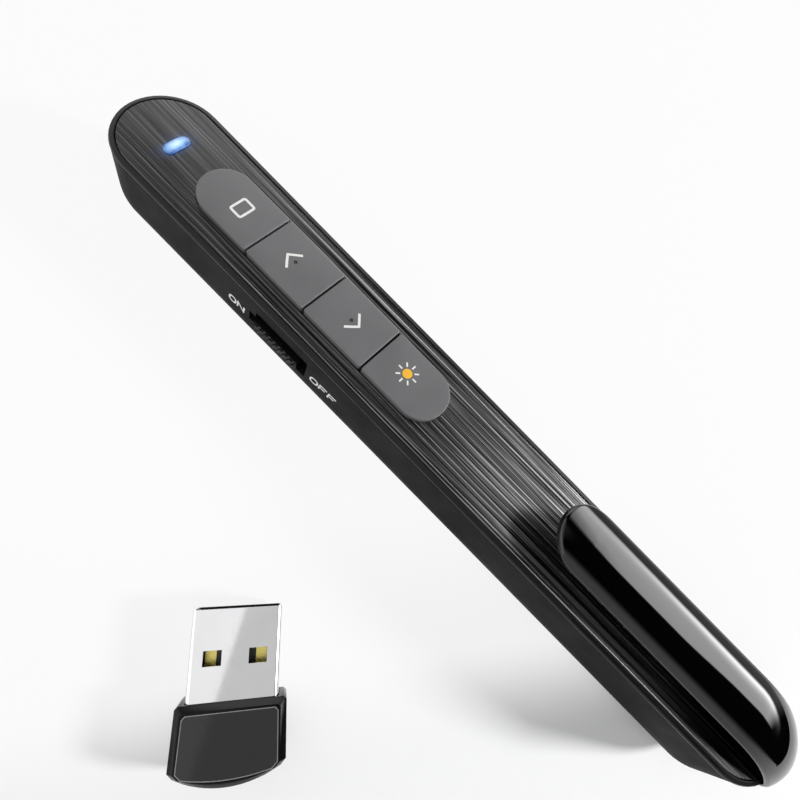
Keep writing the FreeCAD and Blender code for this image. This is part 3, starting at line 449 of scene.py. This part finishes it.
def add_piece(name, mesh, finish, body):
    """A piece with one finish, riding on a body."""
    mesh.materials.append(finishes[finish])
    piece = bpy.data.objects.new(name, mesh)
    scene.collection.objects.link(piece)
    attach(piece, body)
    return piece


def new_piece(name, points, faces, finish, body, smooth_deg=35.0):
    """A mesh piece in metres from points in millimetres."""
    mesh = bpy.data.meshes.new(name)
    mesh.from_pydata([Vector(p) * MM for p in points], [], faces)
    work = bmesh.new()
    work.from_mesh(mesh)
    bmesh.ops.remove_doubles(work, verts=work.verts, dist=WELD * MM)
    bmesh.ops.recalc_face_normals(work, faces=work.faces)
    shade(work, smooth_deg)
    work.to_mesh(mesh)
    work.free()
    return add_piece(name, mesh, finish, body)


def stacked(count, size):
    """Faces that join count rings of size points each and close the first and the last one."""
    faces = []
    for i in range(count - 1):
        for k in range(size):
            j = (k + 1) % size
            faces.append((i * size + k, i * size + j, (i + 1) * size + j, (i + 1) * size + k))
    faces.append(tuple(range((count - 1) * size, count * size)))
    faces.append(tuple(reversed(range(size))))
    return faces


def ribbon(line, width, closed):
    """Left and right edges of a flat stroke along a line of (a, b) points."""
    count = len(line)
    sides = []
    for i, here in enumerate(line):
        before = line[i - 1] if i or closed else None
        after = line[(i + 1) % count] if i + 1 < count or closed else None
        normals = []
        for start, end in ((before, here), (here, after)):
            if start is not None and end is not None:
                run = Vector(end) - Vector(start)
                normals.append(Vector((-run.y, run.x)).normalized())
        middle = sum(normals, Vector((0, 0))).normalized()
        reach = width / 2 / max(MITRE_LIMIT, middle.dot(normals[0]))
        sides.append((Vector(here) + middle * reach, Vector(here) - middle * reach))
    return sides


def strokes(name, lines, width, on_surface, finish, body):
    """Printed strokes: flat ribbons that lie on a surface given as (a, b) to (x, y, z)."""
    points, faces = [], []
    for line, closed in lines:
        first = len(points)
        pairs = ribbon(line, width, closed)
        for left, right in pairs:
            points.extend((on_surface(*left), on_surface(*right)))
        last = len(pairs) if closed else len(pairs) - 1
        for i in range(last):
            j = (i + 1) % len(pairs)
            faces.append((first + 2 * i, first + 2 * j, first + 2 * j + 1, first + 2 * i + 1))
    new_piece(name, points, faces, finish, body)


def on_circle(centre, radius, turn):
    return (centre[0] + radius * math.cos(turn), centre[1] + radius * math.sin(turn))


def rounded_loop(half_a, half_b, radius, steps=5, centre=(0, 0)):
    """Rounded rectangle as a closed line."""
    line = []
    for turn, (sa, sb) in enumerate(((1, 1), (-1, 1), (-1, -1), (1, -1))):
        corner = (centre[0] + sa * (half_a - radius), centre[1] + sb * (half_b - radius))
        for k in range(steps + 1):
            line.append(on_circle(corner, radius, math.radians(90 * turn + 90 * k / steps)))
    return line


# Keys: crowned caps with soft edges in one row

KEY_HALF, KEY_TOP, KEY_FOOT = 4.54, 16.1, 13.15
KEY_CROWN, KEY_EDGE, KEY_CORNER = 0.10, 0.14, 0.35
KEY_STEPS, EDGE_STEPS = 14, 5
CROWN_INSETS = (0.5, 0.9, 1.6, 2.4, 3.2, 4.0, 4.4)
ROW_NOSE, ROW_TAIL = 55.0, 3.6
SEAM = 0.36
KEY_ENDS = {"screen": (41.7, ROW_NOSE), "page_up": (29.4, 41.7), "page_down": (17.1, 29.4),
            "laser": (ROW_TAIL, 17.1)}


def key_ring(low, high, low_round, high_round, inset, height):
    """Outline of a key moved in by inset: a half circle or a seam with small corners at each end."""
    half = KEY_HALF - inset
    corner = min(KEY_CORNER, half)
    ring = []
    for end, is_round, sign in ((high, high_round, 1), (low, low_round, -1)):
        for k in range(2 * KEY_STEPS + 1):
            turn = math.pi * k / (2 * KEY_STEPS)
            if is_round:
                x = half * math.cos(turn)
                y = end - sign * KEY_HALF + sign * half * math.sin(turn)
            else:
                side = 1 if k <= KEY_STEPS else -1
                x = side * (half - corner) + corner * math.cos(turn)
                y = end - sign * inset - sign * corner + sign * corner * math.sin(turn)
            ring.append((sign * x, y, height))
    return ring


def key_height(x):
    """Crowned top face of the row of keys."""
    return KEY_TOP - KEY_CROWN * (x / KEY_HALF) ** 2


def make_key_cap(name, low, high):
    """Key cap that stands in for the CAD key: foot, rounded edge and crown."""
    low_round, high_round = low == ROW_TAIL, high == ROW_NOSE
    low = low if low_round else low + SEAM / 2
    high = high if high_round else high - SEAM / 2
    rings = [key_ring(low, high, low_round, high_round, 0.0, KEY_FOOT)]
    for k in range(EDGE_STEPS + 1):
        angle = math.pi / 2 * k / EDGE_STEPS
        inset = KEY_EDGE * (1 - math.cos(angle))
        drop = KEY_EDGE * (math.sin(angle) - 1)
        rings.append(key_ring(low, high, low_round, high_round, inset, drop))
    for inset in CROWN_INSETS:
        rings.append(key_ring(low, high, low_round, high_round, inset, 0.0))
    points = list(rings[0])
    for ring in rings[1:]:
        points.extend((x, y, key_height(x) + drop) for x, y, drop in ring)
    faces = stacked(len(rings), len(rings[0]))
    cap = new_piece("key_cap_" + name, points, faces, "key", name + "_key", smooth_deg=50.0)
    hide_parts("key_" + name)


for name, (low, high) in KEY_ENDS.items():
    make_key_cap(name, low, high)


# Printed signs on the keys, and dark dots of painted shade

PRINT_LIFT = 0.015
SIGN_STROKE, RAY_STROKE = 0.40, 0.26
SCREEN_SIGN = {"half_a": 1.42, "half_b": 1.07, "radius": 0.28, "centre": (0.03, 47.3)}
UP_SIGN = [(-1.70, 35.85), (-0.9, 36.62), (0.0, 37.42), (0.86, 36.6), (1.65, 35.85)]
DOWN_SIGN = [(-1.75, 23.42), (-0.9, 22.66), (0.0, 21.92), (0.84, 22.7), (1.62, 23.45)]
SUN_CENTRE, SUN_RADIUS, SUN_STEPS = (0.27, 11.65), 0.80, 36
RAY_FROM, RAY_TO, RAY_COUNT = 1.12, 1.86, 8
DOT_RADIUS, DOT_STEPS = 0.32, 20


def on_key(a, b):
    return (a, b, key_height(a) + PRINT_LIFT)


def key_sign(name, lines, width, key):
    strokes(name, lines, width, on_key, "ink", key + "_key")


def ray_lines():
    """Short strokes that stand round the sun."""
    lines = []
    for k in range(RAY_COUNT):
        turn = 2 * math.pi * k / RAY_COUNT
        lines.append(([on_circle(SUN_CENTRE, RAY_FROM, turn), on_circle(SUN_CENTRE, RAY_TO, turn)], False))
    return lines


def key_disc(name, centre, radius, finish, key, steps):
    """Flat round disc laid on a key's crowned top: printed ink for the sun, painted shade for the dots on the
    page keys.
    """
    points = [on_key(*centre)]
    for share in (0.5, 1.0):
        for k in range(steps):
            points.append(on_key(*on_circle(centre, radius * share, 2 * math.pi * k / steps)))
    faces = []
    for k in range(steps):
        j = (k + 1) % steps
        faces.append((0, 1 + k, 1 + j))
        faces.append((1 + k, 1 + steps + k, 1 + steps + j, 1 + j))
    new_piece(name, points, faces, finish, key + "_key")


key_sign("icon_screen", [(rounded_loop(**SCREEN_SIGN), True)], SIGN_STROKE, "screen")
key_sign("icon_page_up", [(UP_SIGN, False)], SIGN_STROKE, "page_up")
key_sign("icon_page_down", [(DOWN_SIGN, False)], SIGN_STROKE, "page_down")
key_disc("icon_sun_disc", SUN_CENTRE, SUN_RADIUS, "sun_ink", "laser", SUN_STEPS)
key_sign("icon_sun_rays", ray_lines(), RAY_STROKE, "laser")
# Painted shade: flat dark discs stand in for the shade of small recessed dots on the page keys
key_disc("shade_dot_page_up", (0.02, 35.72), DOT_RADIUS, "dark", "page_up", DOT_STEPS)
key_disc("shade_dot_page_down", (-0.12, 23.44), DOT_RADIUS, "dark", "page_down", DOT_STEPS)


# Light window: a low dome over the slot, as rings of inset and rise

WINDOW_HALF_X, WINDOW_HALF_Y = 2.25, 1.0
WINDOW_RINGS = ((0.0, -0.02), (0.0, 0.05), (0.03, 0.10), (0.10, 0.15), (0.30, 0.21), (0.60, 0.25),
                (0.95, 0.27))


def make_light_window():
    """Domed lozenge with a small foot, standing on the plate over the light slot."""
    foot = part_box("led_lens")[1].z / MM
    points = []
    for inset, rise in WINDOW_RINGS:
        half_x, half_y = WINDOW_HALF_X - inset, WINDOW_HALF_Y - inset
        line = rounded_loop(half_x, half_y, half_y, 10, (0.0, LED_Y))
        points.extend((x, y, foot + rise) for x, y in line)
    faces = stacked(len(WINDOW_RINGS), len(points) // len(WINDOW_RINGS))
    new_piece("light_window", points, faces, "led", "casing", smooth_deg=60.0)


make_light_window()


# Lettering beside the slide switch, on the side that leans from the rim to the round of the hull

HULL_HALF, RIM_HALF, BILGE, HULL_TOP = 9.3, 8.5, 6.0, 14.1
BILGE_CENTRE = HULL_HALF - BILGE
SIDE_LEAN = (math.atan2(HULL_TOP - BILGE, RIM_HALF - BILGE_CENTRE)
             - math.acos(BILGE / math.hypot(RIM_HALF - BILGE_CENTRE, HULL_TOP - BILGE)))
LETTER_HEIGHT, LETTER_LEAN, LETTER_STROKE = 1.42, 0.16, 0.35
LETTER_SHARE, LETTER_START, LETTER_LIFT = 0.75, 0.15, 0.02


def on_left_side(a, b):
    """Point on the left side of the hull: a runs to the tail, b is the height."""
    x = BILGE_CENTRE + (BILGE - (b - BILGE) * math.sin(SIDE_LEAN)) / math.cos(SIDE_LEAN)
    return (-x - LETTER_LIFT, -a, b)


def letter(kind, start, low, width):
    """Strokes of one wide slanted capital whose lower left corner is at (start, low)."""
    def at(a, b):
        return (start + a * width + (b - 0.5) * LETTER_HEIGHT * LETTER_LEAN, low + b * LETTER_HEIGHT)
    if kind == "O":
        loop = [at(0.5 + a, 0.5 + b) for a, b in rounded_loop(0.5, 0.5, 0.42, 6)]
        return [(loop, True)]
    if kind == "N":
        return [([at(0.0, 0.0), at(0.0, 1.0), at(1.0, 0.0), at(1.0, 1.0)], False)]
    return [([at(0.0, 0.0), at(0.0, 1.0), at(1.0, 1.0)], False), ([at(0.0, 0.5), at(0.8, 0.5)], False)]


def word(name, text, from_y, to_y, low):
    """Lettering spread between two places along the handset, read from nose to tail."""
    lines = []
    pitch = (from_y - to_y) / (len(text) - 1 + LETTER_SHARE)
    for i, kind in enumerate(text):
        lines.extend(letter(kind, -from_y + i * pitch + LETTER_START, low, pitch * LETTER_SHARE))
    strokes(name, lines, LETTER_STROKE, on_left_side, "letter_ink", "casing")


word("lettering_on", "ON", from_y=40.75, to_y=37.55, low=8.28)
word("lettering_off", "OFF", from_y=22.4, to_y=16.9, low=8.25)


# Painted highlight: a pale strip round the receiver's front, where its bevel catches the light

RECEIVER_TURN_DEG = -45.0
RECEIVER_PLACE = (-47.7, -4.0)
FRONT_TOP = 6.41
FRONT_SIDE = [(5.65, -1.1), (6.05, -1.5), (6.25, -7.6)]
BOW_HALF, BOW_END, BOW_RISE, BOW_STEPS = 5.55, -8.9, 0.6, 16
FRONT_STROKE = 0.12


def on_receiver(a, b):
    """Point on the receiver's flat front, from the receiver's own axes."""
    turn = math.radians(RECEIVER_TURN_DEG)
    x = a * math.cos(turn) - b * math.sin(turn) + RECEIVER_PLACE[0]
    y = a * math.sin(turn) + b * math.cos(turn) + RECEIVER_PLACE[1]
    return (x, y, FRONT_TOP)


def front_outline():
    """Outline of the front: straight mouth, slightly flared sides and a bowed end."""
    line = [(-a, b) for a, b in FRONT_SIDE]
    for k in range(BOW_STEPS + 1):
        share = 2 * k / BOW_STEPS - 1
        line.append((BOW_HALF * share, BOW_END + BOW_RISE * share ** 2))
    return line + FRONT_SIDE[::-1]


strokes("receiver_front_highlight_strip", [(front_outline(), True)], FRONT_STROKE, on_receiver, "front_painted_highlight",
        "receiver")


# Clip: one smooth shell swept along its side view, up the tail, round two bends and along the top

CLIP = {"half": 5.2, "crown": 8.95, "edge": 0.6, "thick": 1.3, "top": 22.47, "bend_start": -57.5,
        "bend_radius": 20.0, "bend_deg": 40.0, "tail": -72.35, "free_end": -18.6, "end_length": 6.3,
        "foot": 10.0}
SOFT_EDGE, HARD_EDGE = 0.28, 0.15
SOFT_STEPS, HARD_STEPS = 6, 3
CROWN_RATIOS = (0.0, 0.12, 0.24, 0.36, 0.48, 0.6, 0.7, 0.79, 0.87, 0.92)
UNDER_RATIOS = (0.87, 0.7, 0.48, 0.24, 0.0)
SIDE_STEPS, END_STEPS = 60, 40


def clip_bends():
    """Radius of the small bend, centres of both bends, and lengths of the wall and of both bends."""
    turn = math.radians(CLIP["bend_deg"])
    large = CLIP["bend_radius"]
    run = CLIP["bend_start"] - CLIP["tail"]
    small = (run - large * math.sin(turn)) / (1 - math.sin(turn))
    large_centre = (CLIP["bend_start"], CLIP["top"] - large)
    small_centre = (large_centre[0] - (large - small) * math.sin(turn),
                    large_centre[1] + (large - small) * math.cos(turn))
    lengths = (small_centre[1] - CLIP["foot"], small * (math.pi / 2 - turn), large * turn)
    return small, small_centre, large_centre, lengths


CLIP_BENDS = clip_bends()


def on_bend(centre, radius, angle):
    """Point and outward normal on a bend, at an angle from the wall at the tail."""
    normal = (-math.cos(angle), math.sin(angle))
    return (centre[0] + radius * normal[0], centre[1] + radius * normal[1]), normal


def clip_path(s):
    """Point on the crown line and the outward normal, s millimetres from the foot."""
    small, small_centre, large_centre, (wall, small_length, large_length) = CLIP_BENDS
    if s <= wall:
        return (CLIP["tail"], CLIP["foot"] + s), (-1.0, 0.0)
    s -= wall
    if s <= small_length:
        return on_bend(small_centre, small, s / small)
    s -= small_length
    if s <= large_length:
        angle = math.pi / 2 - math.radians(CLIP["bend_deg"]) + s / CLIP["bend_radius"]
        return on_bend(large_centre, CLIP["bend_radius"], angle)
    return (CLIP["bend_start"] + s - large_length, CLIP["top"]), (0.0, 1.0)


def sagitta(radius, x):
    """How far an arc has fallen at x from its crown."""
    return radius - math.sqrt(radius ** 2 - x * x)


def clip_lanes():
    """Lanes from the middle of the crown round the edge to the middle below.

    A lane is its place across the clip as a share of half the width, the radius of its arc, and how
    deep it lies under the crown.
    """
    half, thick, crown = CLIP["half"], CLIP["thick"], CLIP["crown"]
    under_drop = sagitta(crown, half) + CLIP["edge"] - thick
    under = (half ** 2 + under_drop ** 2) / (2 * under_drop)
    lanes = [(ratio, crown, 0.0) for ratio in CROWN_RATIOS]
    for k in range(SOFT_STEPS + 1):
        angle = math.pi / 2 * k / SOFT_STEPS
        inset = SOFT_EDGE * (1 - math.sin(angle))
        lanes.append((1 - inset / half, crown, SOFT_EDGE * (1 - math.cos(angle))))
    for k in range(HARD_STEPS + 1):
        angle = math.pi / 2 * k / HARD_STEPS
        inset = HARD_EDGE * (1 - math.cos(angle))
        lanes.append((1 - inset / half, under, thick - HARD_EDGE * (1 - math.sin(angle))))
    return lanes + [(ratio, under, thick) for ratio in UNDER_RATIOS]


def clip_line(ratio, round_start):
    """One lane seen from above: along one side, round the free end and back, as (s, x)."""
    half, end = CLIP["half"], CLIP["end_length"]
    side = [round_start * k / SIDE_STEPS for k in range(SIDE_STEPS)]
    line = [(s, ratio * half) for s in side]
    for k in range(END_STEPS + 1):
        turn = math.pi * k / END_STEPS
        line.append((round_start + ratio * end * math.sin(turn), ratio * half * math.cos(turn)))
    return line + [(s, -ratio * half) for s in reversed(side)]


def make_clip():
    """Clip shell with a rounded outer edge, a crisper inner edge and a flat foot."""
    total = sum(CLIP_BENDS[3]) + CLIP["free_end"] - CLIP["bend_start"]
    lanes = clip_lanes()
    points, faces = [], []
    for ratio, radius, depth in lanes:
        for s, x in clip_line(ratio, total - CLIP["end_length"]):
            (y, z), (ny, nz) = clip_path(s)
            below = depth + sagitta(radius, x)
            points.append((x, y - ny * below, z - nz * below))
    size = len(points) // len(lanes)
    for i in range(len(lanes) - 1):
        for k in range(size - 1):
            faces.append((i * size + k, i * size + k + 1, (i + 1) * size + k + 1, (i + 1) * size + k))
    starts = [i * size for i in range(len(lanes))]
    faces.append(tuple(starts + [start + size - 1 for start in reversed(starts)]))
    shell = new_piece("clip_shell", points, faces, "clip", "clip", smooth_deg=40.0)
    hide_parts("clip")


TONGUE_HALF, TONGUE_TAIL, TONGUE_NOSE = 3.8, -71.3, -66.9
TONGUE_LOW, TONGUE_HIGH = 10.0, 11.4
HOLE_CENTRE, HOLE_RADIUS, HOLE_STEPS = (0.0, -68.7), 1.25, 24
HOLE_START_DEG = -135.0


def make_clip_tongue():
    """Flat tongue at the foot of the clip, with the hole for the hull's peg."""
    outline = [Vector(corner) for corner in ((-TONGUE_HALF, TONGUE_TAIL), (TONGUE_HALF, TONGUE_TAIL),
                                             (TONGUE_HALF, TONGUE_NOSE), (-TONGUE_HALF, TONGUE_NOSE))]
    hole, rim = [], []
    for k in range(HOLE_STEPS):
        turn = math.radians(HOLE_START_DEG + 360 * k / HOLE_STEPS)
        hole.append(on_circle(HOLE_CENTRE, HOLE_RADIUS, turn))
        side, share = divmod(k * 4 / HOLE_STEPS, 1.0)
        rim.append(tuple(outline[int(side)].lerp(outline[(int(side) + 1) % 4], share)))
    points, faces = [], []
    rings = ((rim, TONGUE_LOW), (rim, TONGUE_HIGH), (hole, TONGUE_HIGH), (hole, TONGUE_LOW))
    for ring, z in rings:
        points.extend((x, y, z) for x, y in ring)
    for i in range(4):
        here, after = i * HOLE_STEPS, (i + 1) % 4 * HOLE_STEPS
        for k in range(HOLE_STEPS):
            j = (k + 1) % HOLE_STEPS
            faces.append((here + k, here + j, after + j, after + k))
    new_piece("clip_tongue", points, faces, "clip", "clip")


make_clip()
make_clip_tongue()


# Soft edges on the receiver's cap

CAP_EDGE, CAP_EDGE_STEPS = 0.18, 3
CAP_SHARP_DEG, CAP_FLAT_DEG, CAP_SMOOTH_DEG = 40.0, 0.5, 30.0


def make_soft_cap():
    """Stand-in for the CAD cap with its sharp outer edges rounded."""
    work = bmesh.new()
    work.from_mesh(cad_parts["receiver_cap"].data)
    bmesh.ops.remove_doubles(work, verts=work.verts, dist=WELD * MM)
    bmesh.ops.dissolve_limit(work, angle_limit=math.radians(CAP_FLAT_DEG), verts=work.verts, edges=work.edges)
    chosen = []
    for edge in work.edges:
        if len(edge.link_faces) == 2 and edge.calc_face_angle_signed(0.0) > math.radians(CAP_SHARP_DEG):
            chosen.append(edge)
    bmesh.ops.bevel(work, geom=chosen, offset=CAP_EDGE * MM, offset_type="OFFSET", segments=CAP_EDGE_STEPS,
                    profile=0.5, affect="EDGES", clamp_overlap=True)
    shade(work, CAP_SMOOTH_DEG)
    bmesh.ops.triangulate(work, faces=[face for face in work.faces if len(face.verts) > 4])
    for face in work.faces:
        face.material_index = 0
    mesh = bpy.data.meshes.new("receiver_cap_soft")
    work.to_mesh(mesh)
    work.free()
    piece = add_piece("receiver_cap_soft", mesh, "cap", "receiver")
    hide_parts("receiver_cap")


make_soft_cap()


# Floor, world, lamp and camera, in metres

# PICTURE_UP is the direction on the floor that runs up in the picture
FLOOR_HALF, FLOOR_LEVEL = 3.0, -0.00004
PICTURE_UP = (0.674, 0.739)


def make_floor():
    """Pale paper under the tail and the receiver keeps their shadows; further up it fades to plain white."""
    mesh = bpy.data.meshes.new("floor")
    corners = [(-FLOOR_HALF, -FLOOR_HALF), (FLOOR_HALF, -FLOOR_HALF), (FLOOR_HALF, FLOOR_HALF),
               (-FLOOR_HALF, FLOOR_HALF)]
    mesh.from_pydata([(x, y, FLOOR_LEVEL) for x, y in corners], [], [(0, 1, 2, 3)])
    made, g, sockets = material("floor_paper", 0.85, Specular_IOR_Level=0.1)
    fibre = g.noise(size=1 / (3 * MM), detail=3.0)
    g.put(sockets["Base Color"], g.ramp(fibre, [(0.3, 0.945), (0.7, 0.955)]))
    plain = g.node("ShaderNodeEmission")
    plain.inputs["Color"].default_value = rgba(WHITE)
    x, y, _ = g.axes()
    upward = g.math("MULTIPLY_ADD", x, PICTURE_UP[0], g.math("MULTIPLY", y, PICTURE_UP[1]))
    first_fade = g.step(upward, -0.050, -0.033, 0.05, 0.84)
    second_fade = g.step(upward, -0.032, -0.008, 0.0, 0.10)
    distance = g.math("SQRT", g.math("MULTIPLY_ADD", x, x, g.math("MULTIPLY", y, y)))
    far_fade = g.step(distance, 0.10, 0.22, 0.0, 0.97)
    share = g.math("MAXIMUM", g.math("ADD", first_fade, second_fade), far_fade)
    seen = g.rays("Is Camera Ray", "Is Transmission Ray", "Is Glossy Ray")
    shader = made.node_tree.nodes["Principled BSDF"]
    mixed = g.mix_shaders(g.math("MULTIPLY", seen, share), shader.outputs[0], plain.outputs[0])
    g.put(made.node_tree.nodes["Material Output"].inputs["Surface"], mixed)
    mesh.materials.append(made)
    floor = bpy.data.objects.new("floor", mesh)
    scene.collection.objects.link(floor)


def glossy_room(g):
    """What polished surfaces mirror; a and b are where a direction meets a ceiling one unit up."""
    x, y, z = g.axes("Generated")
    up = g.math("MAXIMUM", z, 0.03)
    a = g.math("DIVIDE", x, up)
    b = g.math("DIVIDE", y, up)

    # Soft box to the right, brighter towards the tail and dark near the floor
    near = g.step(b, -0.55, -0.25)
    end = g.step(b, -0.95, -0.72, 0.12, 0.0)
    low = g.math("ADD", g.math("MULTIPLY_ADD", near, 0.14, 0.24), end)
    high = g.math("ADD", g.math("MULTIPLY_ADD", near, 0.62, 0.30), end)
    right = g.math("MULTIPLY", g.step(a, low, high), g.step(y, -0.86, -0.74))
    tail = g.math("MULTIPLY", g.step(b, -0.60, -0.36, 1.0, 0.0), g.step(b, -1.15, -0.75, 3.0, 4.0))
    level = g.math("ADD", tail, g.step(b, 0.0, 0.8, 1.8, 3.0))
    low_cut = g.step(z, 0.26, 0.36, 0.08, 1.0)
    total = g.math("MULTIPLY", g.math("MULTIPLY", right, level), low_cut)

    # Pale wall beyond the nose
    wall = g.math("MULTIPLY", g.step(y, 0.15, 0.45), g.step(z, 0.50, 0.72, 0.8, 0.0))
    total = g.math("ADD", total, wall)

    # Card to the left
    left = g.math("MULTIPLY", g.step(a, -0.75, -0.42, 1.0, 0.0), g.step(b, 0.0, 0.5, 1.0, 0.2))
    total = g.math("ADD", total, left)

    # Pane overhead, with the slanted edge that the plug mirrors
    slant = g.math("MULTIPLY_ADD", a, -0.57, b)
    ceiling = g.math("MULTIPLY", g.step(b, -0.42, -0.30), g.step(a, 0.02, 0.22, 1.0, 0.0))
    total = g.math("ADD", total, g.math("MULTIPLY", ceiling, g.step(slant, 0.028, 0.038, 0.68, 1.05)))

    # Small bright lamp that ends the band of light on the clip
    hot_a = g.math("DIVIDE", g.math("SUBTRACT", a, 1.76), 0.55)
    hot_b = g.math("DIVIDE", g.math("SUBTRACT", b, -1.78), 0.7)
    square = g.math("ADD", g.math("MULTIPLY", hot_a, hot_a), g.math("MULTIPLY", hot_b, hot_b))
    hot = g.math("MULTIPLY", g.math("EXPONENT", g.math("MULTIPLY", square, -1.0)), 8.0)
    return g.math("ADD", total, g.math("MULTIPLY", hot, low_cut))


def make_world():
    """White all round for the camera, an even light for matt surfaces, and soft boxes for gloss."""
    world = bpy.data.worlds.new("studio")
    scene.world = world
    world.use_nodes = True
    world.node_tree.nodes.clear()
    g = Graph(world.node_tree)
    gloss = g.background(1.0, glossy_room(g))
    even = g.background((0.99, 0.995, 1.0), g.step(g.axes("Generated")[0], -0.5, 0.5, 0.72, 0.14))
    white = g.background(WHITE, 1.0)
    lit = g.mix_shaders(g.rays("Is Glossy Ray"), even, gloss)
    seen = g.mix_shaders(g.rays("Is Camera Ray", "Is Transmission Ray"), lit, white)
    g.put(g.node("ShaderNodeOutputWorld").inputs["Surface"], seen)


def make_lamp(name, place, target, size, watts):
    """Soft box that lights matt surfaces and casts the soft shadow."""
    light = bpy.data.lights.new(name, "AREA")
    light.shape = "DISK"
    light.size = size
    light.energy = watts
    lamp = bpy.data.objects.new(name, light)
    scene.collection.objects.link(lamp)
    lamp.location = place
    lamp.rotation_mode = "QUATERNION"
    lamp.rotation_quaternion = (Vector(target) - Vector(place)).to_track_quat("-Z", "Y")
    lamp.visible_glossy = False


CAMERA_PLACE = (-30.5, 5.7, 82.7)
CAMERA_PITCH_DEG, CAMERA_ROLL_DEG = 22.0, 45.5


def make_camera():
    """Wide-angle camera above the handset, fitted to the photograph's outline."""
    lens = bpy.data.cameras.new("camera")
    lens.lens = 21.6
    lens.sensor_width = 36.0
    lens.shift_x = -0.0225
    lens.shift_y = 0.0225
    lens.clip_start = 0.005
    lens.clip_end = 20.0
    camera = bpy.data.objects.new("camera", lens)
    scene.collection.objects.link(camera)
    pitch = math.radians(CAMERA_PITCH_DEG)
    roll = math.radians(CAMERA_ROLL_DEG)
    ahead = Vector((math.sin(pitch), 0.0, -math.cos(pitch)))
    across = Vector((math.cos(pitch), 0.0, math.sin(pitch)))
    along = Vector((0.0, -1.0, 0.0))
    right = along * math.cos(roll) + across * math.sin(roll)
    up = across * math.cos(roll) - along * math.sin(roll)
    turn = Matrix((right, up, -ahead)).transposed()
    camera.rotation_mode = "QUATERNION"
    camera.rotation_quaternion = turn.to_quaternion()
    camera.location = Vector(CAMERA_PLACE) * MM
    scene.camera = camera


make_floor()
make_world()
make_lamp("key_lamp", place=(0.574, -0.92, 0.545), target=(0.0, -0.02, 0.0), size=0.20, watts=17.5)
make_camera()
scene.view_settings.view_transform = "Standard"
